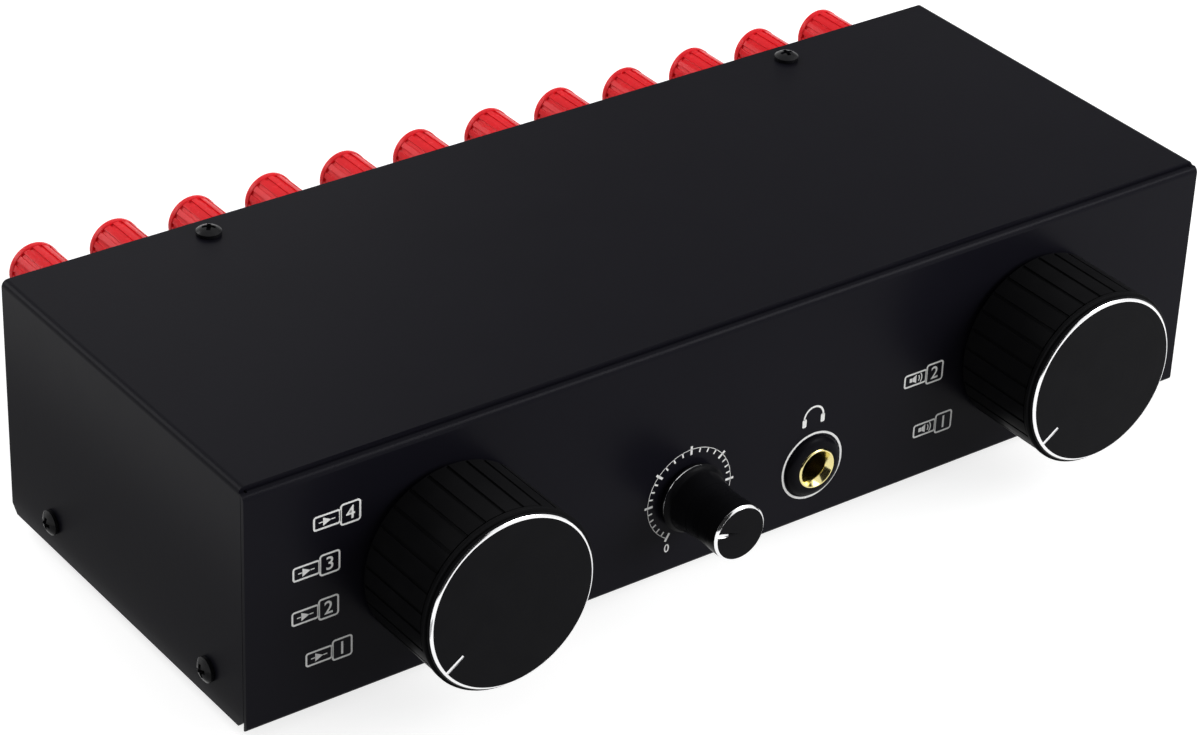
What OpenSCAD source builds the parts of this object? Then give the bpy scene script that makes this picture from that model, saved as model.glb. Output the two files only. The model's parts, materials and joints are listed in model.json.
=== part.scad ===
// Speaker selector switch: four amplifiers to two pairs of loudspeakers.
// A folded steel box with two selector knobs, a headphone volume knob and a
// headphone jack in front, and two rows of twelve binding posts behind.
// +X to the right of the front panel, +Y to the rear, +Z up, resting on z = 0.

/* [Box] */
// Width of the box over the cover's sides
body_w = 250; // [240:1:264]
// Depth from the front panel's face to the rear edge
body_d = 96; // [94:1:120]
// Height from the bottom sheet to the top of the cover
body_h = 57; // [56:1:62]
// Thickness of the folded steel sheet
sheet_t = 1.0; // [0.8:0.1:1.2]
// Outer radius of the folds
fold_r = 1.6; // [1.4:0.1:2]
// Outer radius of the sharper fold between the front and the bottom
front_fold_r = 1.1; // [1:0.1:1.6]
// Height of the rubber feet
foot_h = 3; // [2:0.5:4]
// Diameter of the rubber feet
foot_d = 12; // [10:1:14]

/* [Selector knobs] */
// Distance of each selector axis from the middle of the panel
knob_x = 78; // [77:0.2:79]
// Height of the selector axes above the bottom sheet
knob_z = 27.6; // [27.4:0.2:29]
// Diameter over the ring behind the rim
knob_d = 41; // [39:0.2:43]
// Distance of the knob's face from the panel
knob_reach = 24; // [23:0.5:26]
// Number of grooves round the skirt
flute_count = 28; // [20:1:40]
// Direction of both pointers at rest, anticlockwise from the panel's right
pointer_rest = -145; // [-150:1:-140]
// Turn from one selector position to the next
index_angle = 25; // [20:1:30]

/* [Headphone controls] */
// Distance of the volume axis to the left of the middle
volume_x = -16; // [-18:0.5:-14]
// Height of the volume axis above the bottom sheet
volume_z = 18.1; // [17:0.1:20]
// Diameter of the volume knob's face
volume_d = 13; // [12:0.5:14]
// Distance of the volume knob's face from the panel
volume_reach = 17.7; // [16:0.1:19]
// Direction of the volume pointer at rest
volume_rest = 168; // [160:1:180]
// Distance of the jack's axis to the right of the middle
jack_x = 17.4; // [16:0.2:20]
// Height of the jack's axis above the bottom sheet
jack_z = 13.9; // [13.5:0.1:15]
// Bore that guides the 6.35 mm plug
jack_bore_d = 6.5; // [6.45:0.01:6.55]

/* [Binding posts] */
// Number of posts in each row
post_count = 12; // [12:1:12]
// Spacing of the posts along a row
post_pitch = 19.6; // [19:0.1:20]
// Height of the red row above the bottom sheet
red_row_z = 46.2; // [45:0.1:47]
// Spacing of the red row above the black row
row_gap = 19; // [18:0.1:20]
// Distance of the cap's end from the rear panel
post_reach = 18.8; // [18:0.1:20]
// Diameter of a cap
cap_d = 12; // [11:0.2:13]
// Grooves round a cap
cap_flutes = 16; // [13:1:20]
// Bore for a 4 mm banana plug
banana_d = 4.1; // [4.02:0.01:4.15]

/* [Hidden] */
$fn = 48;
front_y = -(body_d + post_reach - knob_reach) / 2;
inner_w = body_w - 2 * fold_r;
chassis_h = body_h - sheet_t;
seam = 0.15;
flange_depth = 13;
flange_inset = 4;
foot_flange = 8;

top_screw_x = 78.4;
screw_inset_rear = 5.8;
side_screw_front = 14.7;
side_screw_rear = 78;
side_screw_z = 7;
screw_hole_r = 1.5;
cover_hole_r = 1.7;

shaft_r = 3;
run_gap = 0.05;
shaft_flat = 2.4;
switch_bush_r = 4.45;
switch_bush_len = 7;
switch_can_r = 15;
switch_can_d = 8;
wafer_r = 13.5;
contact_r = 15;
tab_reach = 16;
tab_root = 8.2;
wafer_t = 1.6;
rod_x = 10.2;
rod_drop = 3.8;
rod_r = 1.5;
wafer_first = 14;
wafer_step = 7;
pole_count = 4;
knob_gap = 1;
knob_r = knob_d / 2;
rim_r = knob_r - 0.4;
face_r = knob_r - 1.5;
groove_r = knob_r - 0.9;
skirt_r = knob_r - 0.2;
skirt_drop = 2.7;
flute_w = 0.8;
flute_depth = 0.45;
pointer_start = 14.2;
pointer_w = 1;
knob_socket_z = 9;
grub_r = 1.95;
grub_z = 14;

pot_bush_r = 3.45;
pot_bush_len = 5;
pot_case_r = 8.4;
pot_case_d = 17;

jack_sleeve_r = 4.76;
jack_reach = 2;
jack_half = 9;
jack_depth = 33;
board_z = jack_z - jack_half;
board_t = 1.6;

cap_back = 4;
cap_gap = 0.3;
stud_r = 3;
tail_r = 2;
post_hole_r = 4;
bush_t = 2;
tag_t = 0.5;
nut_t = 3.2;
tag_drop = 7.4;
banana_depth = 12.2;

wire_r = 0.8;
lane_first = 80;
lane_step = 2.4;
wire_sides = 8;
amp_x = -knob_x;
speaker_x = knob_x;
amp_steps = 4;
speaker_steps = 2;

red_names = [for (i = [1:post_count]) str("red_cap_", i)];
black_names = [for (i = [1:post_count]) str("black_cap_", i)];

// ---- places -----------------------------------------------------------------

// Panel frame: x from the middle, y back from the panel's face, z from the bottom sheet
module in_box() translate([0, front_y, foot_h]) children();

// Child's +z points out of the front panel, its +y stays up
module out_of_front(x, z) in_box() translate([x, 0, z]) rotate([90, 0, 0]) children();

// Child's +z points to the rear, starting y behind the front panel's face
module to_rear(x, y, z) in_box() translate([x, y, z]) rotate([-90, 0, 0]) children();

function post_x(i) = (i - (post_count - 1) / 2) * post_pitch;
function row_z(row) = red_row_z - row * row_gap;
function wafer_y(pole) = wafer_first + pole * wafer_step;

module at_posts(rows = [0, 1], y = 0)
    for (row = rows) for (i = [0:post_count - 1]) to_rear(post_x(i), y, row_z(row)) children();

// ---- plain shapes -----------------------------------------------------------

module tube(r_out, r_in, h) {
    difference() {
        cylinder(r = r_out, h = h);
        translate([0, 0, -1]) cylinder(r = r_in, h = h + 2);
    }
}

module rounded_rect(w, h, r) {
    translate([r, 0]) square([w - 2 * r, h]);
    translate([0, r]) square([w, h - 2 * r]);
    for (x = [r, w - r], y = [r, h - r]) translate([x, y]) circle(r);
}

// A square tube of folded sheet, seen end on
module folded_ring(w, h, r = fold_r) {
    difference() {
        rounded_rect(w, h, r);
        translate([sheet_t, sheet_t]) rounded_rect(w - 2 * sheet_t, h - 2 * sheet_t, max(r - sheet_t, 0.1));
    }
}

// Plan (y, z) drawn in the child's plane, run w wide about x = 0
module along_x(w) rotate([90, 0, 90]) translate([0, 0, -w / 2]) linear_extrude(w) children();

// Bar of radius r with a flat cut along it
module flatted_bar(r, flat, h) {
    linear_extrude(h) intersection() {
        circle(r);
        translate([-r, -r]) square([r + flat, 2 * r]);
    }
}

module hex_nut(across, hole_r, t) {
    difference() {
        cylinder(d = across / cos(30), h = t, $fn = 6);
        translate([0, 0, -1]) cylinder(r = hole_r, h = t + 2);
    }
}

// ---- sheet metal ------------------------------------------------------------

module front_holes() {
    for (x = [amp_x, speaker_x]) out_of_front(x, knob_z) translate([0, 0, -2]) cylinder(r = 4.6, h = 4);
    out_of_front(volume_x, volume_z) translate([0, 0, -2]) cylinder(r = 3.6, h = 4);
    out_of_front(jack_x, jack_z) translate([0, 0, -2]) cylinder(r = 4.9, h = 4);
}

module screw_holes() at_cover_screws() translate([0, 0, -4]) cylinder(r = screw_hole_r, h = 5);

module at_cover_screws() {
    for (side = [-1, 1]) {
        in_box() translate([side * top_screw_x, body_d - screw_inset_rear, body_h]) children();
        for (y = [side_screw_front, side_screw_rear])
            in_box() translate([side * body_w / 2, y, side_screw_z]) rotate([0, side * 90, 0])
                children();
    }
}

module chassis() {
    side_len = body_d - foot_flange - 1 - flange_inset;
    color("#1c1c1e") difference() {
        union() {
            in_box() along_x(inner_w) chassis_outline();
            in_box() along_x(body_w) intersection() {
                chassis_outline();
                square([sheet_t + 0.05, chassis_h]);
            }
            // flanges turned up under the cover's sides
            for (side = [-1, 1])
                in_box() translate([side * (inner_w - sheet_t) / 2 - sheet_t / 2, flange_inset, 0])
                    cube([sheet_t, side_len, flange_depth]);
        }
        front_holes();
        screw_holes();
    }
}

// Front, its flange under the cover and the bottom, seen from the side
module chassis_outline() {
    intersection() {
        folded_ring(2 * body_d, chassis_h, front_fold_r);
        square([body_d, chassis_h / 2]);
    }
    intersection() {
        folded_ring(2 * body_d, chassis_h);
        translate([0, chassis_h / 2]) square([flange_depth, chassis_h]);
    }
}

// Upright web that carries the posts, rounded where its flanges are folded in
module rear_panel() {
    web_h = chassis_h - sheet_t;
    color("#1c1c1e") difference() {
        in_box() along_x(inner_w) translate([body_d - sheet_t, sheet_t]) intersection() {
            square([sheet_t, web_h]);
            translate([-flange_depth, 0]) rounded_rect(flange_depth + sheet_t, web_h, sheet_t);
        }
        at_posts(y = body_d - 2) cylinder(r = post_hole_r, h = 4);
    }
}

// Flanges of the web: one stands on the bottom sheet, the other carries the cover
module rear_flanges() {
    color("#1c1c1e") difference() {
        in_box() translate([-inner_w / 2, body_d, 0]) {
            translate([0, -foot_flange, sheet_t]) cube([inner_w, foot_flange - sheet_t, sheet_t]);
            translate([0, -flange_depth, chassis_h - sheet_t])
                cube([inner_w, flange_depth - sheet_t, sheet_t]);
        }
        screw_holes();
    }
}

module top_cover() {
    color("#1c1c1e") difference() {
        in_box() translate([-body_w / 2, body_d, 0]) rotate([90, 0, 0])
            linear_extrude(body_d - sheet_t - seam) cover_outline();
        // the top sheet starts behind the front panel's fold
        in_box() translate([-body_w, -1, chassis_h - seam]) cube([2 * body_w, 1 + fold_r + 2 * seam, 5]);
        // clipped lower corners of the side sheets
        for (y = [sheet_t + seam, body_d]) in_box() translate([-body_w, y, 0])
            rotate([45, 0, 0]) translate([0, -1.4, -1.4]) cube([2 * body_w, 2.8, 2.8]);
        at_cover_screws() translate([0, 0, -2]) cylinder(r = cover_hole_r, h = 3);
    }
}

// Top and both sides, seen from the front
module cover_outline() {
    difference() {
        translate([0, -10]) folded_ring(body_w, body_h + 10);
        translate([-1, -12]) square([body_w + 2, 12]);
    }
}

module cover_screws() {
    color("#161618") at_cover_screws() pan_head_screw();
}

// Head on z = 0 and above, thread below it
module pan_head_screw(head_r = 2.8, head_h = 1.9, dome_r = 4.2, length = 6) {
    difference() {
        intersection() {
            cylinder(r = head_r, h = head_h);
            translate([0, 0, head_h - dome_r]) sphere(dome_r);
        }
        for (a = [0, 90]) rotate(a + 20) translate([-1.6, -0.4, head_h - 1]) cube([3.2, 0.8, 2]);
    }
    translate([0, 0, -length]) cylinder(r = screw_hole_r - run_gap, h = length);
}

module rubber_feet() {
    foot_r = foot_d / 2;
    color("#101010") for (x = [-1, 1], y = [14, body_d - 14])
        translate([x * (body_w / 2 - 18), front_y + y, 0]) rotate_extrude()
            polygon([[0, 0], [foot_r - 0.8, 0], [foot_r - 0.2, 0.6], [foot_r, foot_h], [0, foot_h]]);
}

// ---- binding posts ----------------------------------------------------------

// z = 0 is the rear panel's outer face, the plug enters from +z
module post_studs() {
    tail = sheet_t + bush_t + tag_t + nut_t + 3;
    color("#c9a24a") at_posts(y = body_d) difference() {
        union() {
            translate([0, 0, cap_back - 2]) cylinder(r = stud_r, h = post_reach - cap_back + 2);
            translate([0, 0, -tail]) cylinder(r = tail_r, h = tail + cap_back);
        }
        translate([0, 0, post_reach - banana_depth]) cylinder(d = banana_d, h = banana_depth + 1);
        translate([0, 0, post_reach - 0.3]) cylinder(r1 = banana_d / 2, r2 = banana_d / 2 + 0.6, h = 0.6);
        // cross hole that takes a bare wire under the cap
        translate([-5, 0, cap_back + 1.3]) rotate([0, 90, 0]) cylinder(r = 1, h = 10);
    }
}

module collar() {
    difference() {
        union() {
            cylinder(d = cap_d, h = cap_back);
            translate([0, 0, -sheet_t]) cylinder(r = post_hole_r - 0.1, h = sheet_t + 1);
        }
        translate([0, 0, -2]) cylinder(r = tail_r + run_gap, h = 8);
        translate([0, 0, cap_back - 2]) cylinder(r = stud_r + run_gap, h = 4);
    }
}

module red_collars() color("#c8202a") at_posts([0], body_d) collar();

module black_collars() color("#161618") at_posts([1], body_d) collar();

module post_bushes() {
    color("#161618") at_posts(y = body_d - sheet_t - bush_t) tube(5.5, tail_r + run_gap, bush_t);
}

module solder_tags() {
    color("#c8c8cc") at_posts(y = body_d - sheet_t - bush_t - tag_t) difference() {
        union() {
            cylinder(r = 4, h = tag_t);
            translate([-1.6, 0, 0]) cube([3.2, tag_drop + 1.6, tag_t]);
        }
        translate([0, 0, -1]) cylinder(r = tail_r + run_gap, h = 3);
    }
}

module post_nuts() {
    color("#b8b8bc") at_posts(y = body_d - sheet_t - bush_t - tag_t - nut_t)
        hex_nut(7, tail_r + run_gap, nut_t);
}

// Screw cap, closed against its collar at rest
module post_cap(i, row) {
    flute_r = 0.9;
    cap_len = post_reach - cap_back - cap_gap;
    to_rear(post_x(i), body_d + cap_back + cap_gap, row_z(row)) difference() {
        union() {
            cylinder(d = cap_d - 0.8, h = 1.2);
            translate([0, 0, 1.2]) linear_extrude(cap_len - 2.2) difference() {
                circle(d = cap_d);
                for (k = [0:cap_flutes - 1]) rotate(k * 360 / cap_flutes)
                    translate([cap_d / 2 + 0.45, 0]) circle(flute_r, $fn = 24);
            }
            translate([0, 0, cap_len - 1]) cylinder(r1 = cap_d / 2 - 0.5, r2 = cap_d / 2 - 1.2, h = 1);
        }
        translate([0, 0, -1]) cylinder(r = stud_r + run_gap, h = cap_len + 2);
    }
}

module red_cap(i) color("#e1232b") post_cap(i, 0);

module black_cap(i) color("#19191b") post_cap(i, 1);

// ---- selector knobs and their rotary switches -------------------------------

// z = 0 is the panel's face, +x is the direction of the pointer
module selector_knob(x) {
    face_z = knob_reach;
    out_of_front(x, knob_z) rotate(pointer_rest) difference() {
        rotate_extrude($fn = 96) polygon([
            [0, knob_gap],
            [skirt_r - 0.5, knob_gap],
            [skirt_r, knob_gap + 0.5],
            [skirt_r, face_z - skirt_drop],
            [groove_r, face_z - skirt_drop],
            [groove_r, face_z - 2.3],
            [knob_r, face_z - 2.3],
            [knob_r, face_z - 1.4],
            [groove_r, face_z - 1.4],
            [groove_r, face_z - 1],
            [rim_r, face_z - 1],
            [rim_r, face_z - 0.75],
            [face_r, face_z],
            [0, face_z]
        ]);
        for (k = [0:flute_count - 1]) rotate(k * 360 / flute_count)
            translate([skirt_r - flute_depth, -flute_w / 2, 0])
                cube([1, flute_w, face_z - skirt_drop]);
        // hollow back over the switch's nut
        cylinder(r = 11, h = knob_socket_z);
        // blind socket for the flatted shaft
        translate([0, 0, knob_socket_z - 0.5]) rotate(180)
            flatted_bar(shaft_r + run_gap, shaft_flat + run_gap, knob_reach - 3 - knob_socket_z + 0.5);
        // tapped hole for the grub screw, opposite the pointer
        translate([-knob_r - 1, 0, grub_z]) rotate([0, 90, 0]) cylinder(r = grub_r + run_gap, h = knob_r);
        // bright pointer line, cut shallow
        translate([pointer_start, -pointer_w / 2, face_z - 0.25])
            cube([face_r + 0.3 - pointer_start, pointer_w, 1]);
    }
}

module grub_screw(x) {
    out_of_front(x, knob_z) rotate(pointer_rest) translate([-shaft_flat - 6.1, 0, grub_z]) rotate([0, 90, 0])
        difference() {
            cylinder(r = grub_r, h = 6);
            translate([0, 0, -1]) cylinder(d = 2 / cos(30), h = 3, $fn = 6);
        }
}

// Shaft, star wheel and the rotor of each wafer
module switch_shaft(x, steps) {
    tip = knob_reach - 3.5;
    step_z = knob_socket_z - 1;
    last = wafer_y(pole_count - 1) + wafer_t + 2;
    out_of_front(x, knob_z) {
        difference() {
            translate([0, 0, -last]) cylinder(r = shaft_r, h = last + tip);
            rotate(pointer_rest + 180) translate([shaft_flat, -5, step_z]) cube([5, 10, tip]);
        }
        translate([0, 0, -5.5]) star_wheel();
        for (p = [0:pole_count - 1]) translate([0, 0, -wafer_y(p) - wafer_t])
            rotate(contact_angle(0, steps)) rotor_disc();
    }
}

// Notches for the ball at twelve o'clock, one for each position that turns up to it
module star_wheel() {
    linear_extrude(2.5) difference() {
        circle(9);
        for (k = [-1:amp_steps]) rotate(90 + k * index_angle) translate([10, 0]) circle(1.5, $fn = 24);
    }
}

// Disc in the wafer's hole and the wiper on its front
module rotor_disc() {
    cylinder(r = 4.7, h = wafer_t + 0.6);
    translate([3.6, -1, wafer_t + 0.1]) cube([4.4, 2, 0.4]);
}

// Bush, round can and tie rods, with the ball and leaf spring that hold each position
module switch_housing(x) {
    color("#d4d4d8") in_box() translate([x, 4.25, knob_z]) {
        translate([0, 0, 10.3]) sphere(1.25);
        translate([-7.2, -1.6, 11.6]) cube([14.4, 3.2, 0.35]);
    }
    color("#a9abae") to_rear(x, 0, knob_z) {
        difference() {
            union() {
                translate([0, 0, -switch_bush_len])
                    cylinder(r = switch_bush_r, h = switch_bush_len + sheet_t + 1);
                translate([0, 0, sheet_t]) cylinder(r = switch_can_r, h = switch_can_d);
            }
            translate([0, 0, sheet_t + 1.2]) cylinder(r = switch_can_r - 1, h = switch_can_d - 2.4);
            translate([0, 0, -switch_bush_len - 1]) cylinder(r = shaft_r + run_gap, h = 30);
        }
        for (side = [-1, 1]) translate([side * rod_x, rod_drop, sheet_t + switch_can_d])
            cylinder(r = rod_r, h = wafer_y(pole_count - 1) + wafer_t + 3 - sheet_t - switch_can_d);
    }
}

// Four insulating wafers, the spacers between them and the nuts behind them
module switch_wafers(x) {
    rod_hole = rod_r + run_gap;
    can_back = sheet_t + switch_can_d;
    color("#6b3f22") for (p = [0:pole_count - 1]) to_rear(x, wafer_y(p), knob_z) difference() {
        cylinder(r = wafer_r, h = wafer_t);
        translate([0, 0, -1]) cylinder(r = 5, h = 4);
        for (side = [-1, 1]) translate([side * rod_x, rod_drop, -1]) cylinder(r = rod_hole, h = 4);
    }
    color("#c8c8cc") for (side = [-1, 1]) to_rear(x + side * rod_x, 0, knob_z - rod_drop) {
        translate([0, 0, can_back]) tube(2.3, rod_hole, wafer_first - can_back);
        for (p = [1:pole_count - 1]) translate([0, 0, wafer_y(p) - wafer_step + wafer_t])
            tube(2.3, rod_hole, wafer_step - wafer_t);
        translate([0, 0, wafer_y(pole_count - 1) + wafer_t]) hex_nut(5, rod_hole, 2);
    }
}

// Directions of a switch's fixed contacts, left to right over the top
function contact_angle(step, steps) = 90 + (steps - 1) * index_angle / 2 - step * index_angle;
function contact_x(step, steps) = contact_r * cos(contact_angle(step, steps));
terminal_top = knob_z + tab_reach;
common_reach = tab_reach + 1.5;
tap_bottom = knob_z - tab_reach;

module switch_terminals() {
    color("#c9a24a") {
        terminals_of(amp_x, amp_steps, 1);
        terminals_of(speaker_x, speaker_steps, -1);
    }
}

// Contacts stand up from the wafers' backs, the common points to the other switch
module terminals_of(x, steps, side) {
    for (p = [0:pole_count - 1]) in_box() translate([x, wafer_y(p) + wafer_t, knob_z]) {
        for (s = [0:steps - 1]) translate([contact_x(s, steps) - 0.9, 0, tab_root])
            cube([1.8, 0.5, tab_reach - tab_root]);
        if (side > 0) translate([5.6, 0, -1.1]) cube([common_reach - 5.6, 0.5, 2.2]);
        if (side < 0) translate([-common_reach, 0, -1.1]) cube([common_reach - 5.6, 0.5, 2.2]);
        if (side > 0 && p < 3) translate([-1.1, 0, -tab_reach]) cube([2.2, 0.5, tab_reach - 6]);
    }
}

// Nuts of the switches and of the volume control, each on its washer
module panel_nuts() {
    switch_hole = switch_bush_r + run_gap;
    pot_hole = pot_bush_r + run_gap;
    color("#b8b8bc") {
        for (x = [amp_x, speaker_x]) out_of_front(x, knob_z) {
            tube(8.5, switch_hole, 0.5);
            translate([0, 0, 0.5]) hex_nut(14, switch_hole, 2.5);
        }
        out_of_front(volume_x, volume_z) {
            tube(6, pot_hole, 0.4);
            translate([0, 0, 0.4]) hex_nut(10, pot_hole, 2);
        }
    }
}

// ---- headphone volume -------------------------------------------------------

// Flanged knob with a drawn-in waist, +x is the direction of the pointer
module volume_knob() {
    face_r = volume_d / 2;
    face_z = volume_reach;
    color("#1b1b1d") out_of_front(volume_x, volume_z) rotate(volume_rest) difference() {
        rotate_extrude($fn = 72) polygon([
            [0, 0.6],
            [face_r + 1.1, 0.6],
            [face_r + 1.3, 0.9],
            [face_r + 1.3, 1.4],
            [face_r + 0.9, 1.8],
            [face_r + 0.3, 1.9],
            [face_r + 0.15, 3.2],
            [face_r - 0.15, 6],
            [face_r - 0.2, 9],
            [face_r - 0.1, 12],
            [face_r, 15],
            [face_r, face_z - 0.6],
            [face_r - 0.6, face_z],
            [0, face_z]
        ]);
        cylinder(r = 6, h = 3.2);
        cylinder(r = 4, h = 6);
        translate([0, 0, 5]) rotate(180) flatted_bar(shaft_r + run_gap, 1.5 + run_gap, 10);
        translate([face_r - 3.6, -0.4, face_z - 0.2]) cube([3.2, 0.8, 1]);
    }
}

module volume_shaft() {
    color("#c8c8cc") out_of_front(volume_x, volume_z) rotate(volume_rest) {
        translate([0, 0, 6]) rotate(180) flatted_bar(shaft_r, 1.5, 8.5);
        translate([0, 0, -pot_case_d + 2]) cylinder(r = shaft_r, h = pot_case_d + 4);
        for (gang = [0, 1]) translate([0, 0, -6 - gang * 7]) cylinder(r = 6.6, h = 1);
    }
}

module volume_pot_case() {
    color("#9a9ca0") to_rear(volume_x, 0, volume_z) difference() {
        union() {
            translate([0, 0, -pot_bush_len]) cylinder(r = pot_bush_r, h = pot_bush_len + sheet_t + 1);
            translate([0, 0, sheet_t]) cylinder(r = pot_case_r, h = pot_case_d);
        }
        translate([0, 0, sheet_t + 1.2]) cylinder(r = pot_case_r - 1, h = pot_case_d - 2.4);
        translate([0, 0, -pot_bush_len - 1]) cylinder(r = shaft_r + run_gap, h = 12);
    }
}

// Underside of the round can, x to the side of its axis
function can_bottom(x) = volume_z - sqrt(pow(pot_case_r, 2) - x * x);
pin_bottom = board_z - board_t - 0.6;

// Six pins from the two gangs down through the board
module volume_pot_terminals() {
    color("#c8c8cc") for (gang = [0, 1], k = [-1, 0, 1]) in_box()
        translate([volume_x + k * 4 - 0.5, 7 + gang * 6, pin_bottom])
            cube([1, 0.5, can_bottom(max(0, abs(k) * 4 - 0.5)) - pin_bottom]);
}

// ---- headphone jack ---------------------------------------------------------

module jack_body() {
    color("#141416") difference() {
        in_box() translate([jack_x - jack_half, sheet_t, jack_z - jack_half])
            cube([2 * jack_half, jack_depth - sheet_t, 2 * jack_half]);
        to_rear(jack_x, 0, jack_z) cylinder(r = jack_sleeve_r + run_gap, h = 8.5);
        to_rear(jack_x, 0, jack_z) cylinder(d = jack_bore_d, h = jack_depth - 1.5);
        // rooms for the contact springs above and below the bore
        for (s = [-1, 1]) in_box() translate([jack_x - 2, 18, jack_z + s * 5.4 - 2.6]) cube([4, 11, 5.2]);
    }
}

module jack_sleeve() {
    color("#d9b354") to_rear(jack_x, 0, jack_z) difference() {
        translate([0, 0, -jack_reach]) cylinder(r = jack_sleeve_r, h = jack_reach + 8);
        translate([0, 0, -jack_reach - 1]) cylinder(d = jack_bore_d, h = 20);
        translate([0, 0, -jack_reach - 0.1]) cylinder(r1 = 4.25, r2 = jack_bore_d / 2, h = 1.1);
    }
}

// Conical ring nut that covers the sleeve's thread
module jack_nut() {
    color("#141416") out_of_front(jack_x, jack_z) difference() {
        cylinder(r1 = 7.2, r2 = 5.3, h = jack_reach - 0.3);
        translate([0, 0, -1]) cylinder(r = jack_sleeve_r + run_gap, h = 4);
    }
}

// Leaf springs over and under the plug, and pins through the board
module jack_contacts() {
    color("#c9a24a") for (side = [0, 1]) in_box() translate([jack_x, 0, jack_z])
        mirror([0, 0, side]) along_x(3) polygon([
            [29, 4.4], [29, 4.8], [22, 4.6], [20.5, 3.9],
            [19, 4.6], [18.8, 4.3], [20.5, 3.5], [22.2, 4.2]
        ]);
    color("#c8c8cc") for (x = [-6, 6], y = [8, 20]) in_box()
        translate([jack_x + x - 0.5, y, pin_bottom]) cube([1, 0.5, board_z - pin_bottom]);
}

module headphone_board() {
    color("#2f6b3c") difference() {
        in_box() translate([-30, 3, board_z - board_t]) cube([62, 38, board_t]);
        for (x = [-6, 6], y = [8, 20]) in_box()
            translate([jack_x + x, y, board_z]) pin_hole();
        for (gang = [0, 1], k = [-1, 0, 1]) in_box()
            translate([volume_x + k * 4, 7 + gang * 6, board_z]) pin_hole();
    }
}

// Slot that clears a pin whose front face is at y = 0
module pin_hole() translate([-0.55, -0.05, -board_t - 1]) cube([1.1, 0.6, board_t + 2]);

// Power resistors that bring the speaker level down to headphone level
module resistors() {
    body_r = 1.8;
    body_len = 12;
    lead = 0.8;
    for (k = [0:3]) in_box() translate([-18, 24.5 + k * 4.4, board_z + body_r + 0.1]) {
        color("#8ea0a8") translate([-body_len / 2, 0, 0]) rotate([0, 90, 0])
            cylinder(r = body_r, h = body_len);
        // bent leads at both ends, down to the board
        color("#c8c8cc") for (side = [-1, 1])
            translate([side * (body_len + lead) / 2 - lead / 2, -lead / 2, -body_r - 0.1])
                cube([lead, lead, body_r + 0.1 + lead / 2]);
    }
}

// ---- internal wiring --------------------------------------------------------

function unit(v) = v / norm(v);
function ring_at(p, t) = let (u = unit(cross(t, [1, -1.3, 0.7])), v = cross(t, u))
    [for (k = [0:wire_sides - 1]) let (a = k * 360 / wire_sides) p + wire_r * (cos(a) * u + sin(a) * v)];

// Cuts each corner of a route into two gentler ones
function eased(route, cut = 1.1) = [
    for (i = [0:len(route) - 1])
        if (i == 0 || i == len(route) - 1) route[i]
        else each [
            route[i] + cut * unit(route[i - 1] - route[i]),
            route[i] + cut * unit(route[i + 1] - route[i])
        ]
];

function tangent(path, i) =
    i == 0 ? unit(path[1] - path[0])
    : i == len(path) - 1 ? unit(path[i] - path[i - 1])
    : unit(unit(path[i] - path[i - 1]) + unit(path[i + 1] - path[i]));

module wire(route) {
    path = eased(route);
    n = len(path);
    s = wire_sides;
    points = [for (i = [0:n - 1]) each ring_at(path[i], tangent(path, i))];
    sides = [for (i = [0:n - 2], k = [0:s - 1], half = [0, 1]) let (a = i * s + k, b = i * s + (k + 1) % s)
        half == 0 ? [a, b, b + s] : [a, b + s, a + s]];
    caps = [[for (k = [s - 1:-1:0]) k], [for (k = [0:s - 1]) (n - 1) * s + k]];
    in_box() polyhedron(points, concat(sides, caps));
}

// Middle of a terminal's thickness behind its wafer
function contact_y(pole) = wafer_y(pole) + wafer_t + 0.25;

// From a post's solder tag to a contact of a switch: in, up, across, forward and down
module feed_wire(column, row, x_end, pole, lane) {
    y_tag = body_d - sheet_t - bush_t - tag_t;
    z_tag = row_z(row) - tag_drop;
    z_run = terminal_top + 2.6 + (pole_count - 1 - pole) * 2.2;
    y_lane = lane_first - lane * lane_step;
    y_end = contact_y(pole);
    straight = abs(x_end - post_x(column)) < 4;
    wire(concat(
        [[post_x(column), y_tag, z_tag], [post_x(column), y_lane, z_tag], [post_x(column), y_lane, z_run]],
        straight ? [] : [[x_end, y_lane, z_run]],
        [[x_end, y_end, z_run], [x_end, y_end, terminal_top]]
    ));
}

// Poles 0 and 1 carry left plus and minus, 2 and 3 right plus and minus
module feeds(x, steps, first_column, row) {
    for (s = [0:steps - 1], right = [0, 1])
        feed_wire(first_column + 2 * s + right, row, x + contact_x(s, steps), 2 * right + row,
                  4 * s + 2 * row + right);
}

// Straight leads between the two switches' commons
module links(row) {
    reach = knob_x - common_reach;
    for (right = [0, 1]) wire([for (x = [-reach, 0, reach]) [x, contact_y(2 * right + row), knob_z]]);
}

// Taps from the amplifier side down to the headphone board
module tap(pole) {
    y = contact_y(pole);
    z_run = board_z + 3;
    wire([[amp_x, y, tap_bottom], [amp_x, y, z_run], [-27.5, y, z_run], [-27.5, y, board_z]]);
}

module red_wires() {
    color("#b3262c") {
        feeds(amp_x, amp_steps, 0, 0);
        feeds(speaker_x, speaker_steps, 2 * amp_steps, 0);
        links(0);
        tap(0);
        tap(2);
    }
}

module black_wires() {
    color("#202022") {
        feeds(amp_x, amp_steps, 0, 1);
        feeds(speaker_x, speaker_steps, 2 * amp_steps, 1);
        links(1);
        tap(1);
    }
}

// ---- nodes ------------------------------------------------------------------

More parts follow.
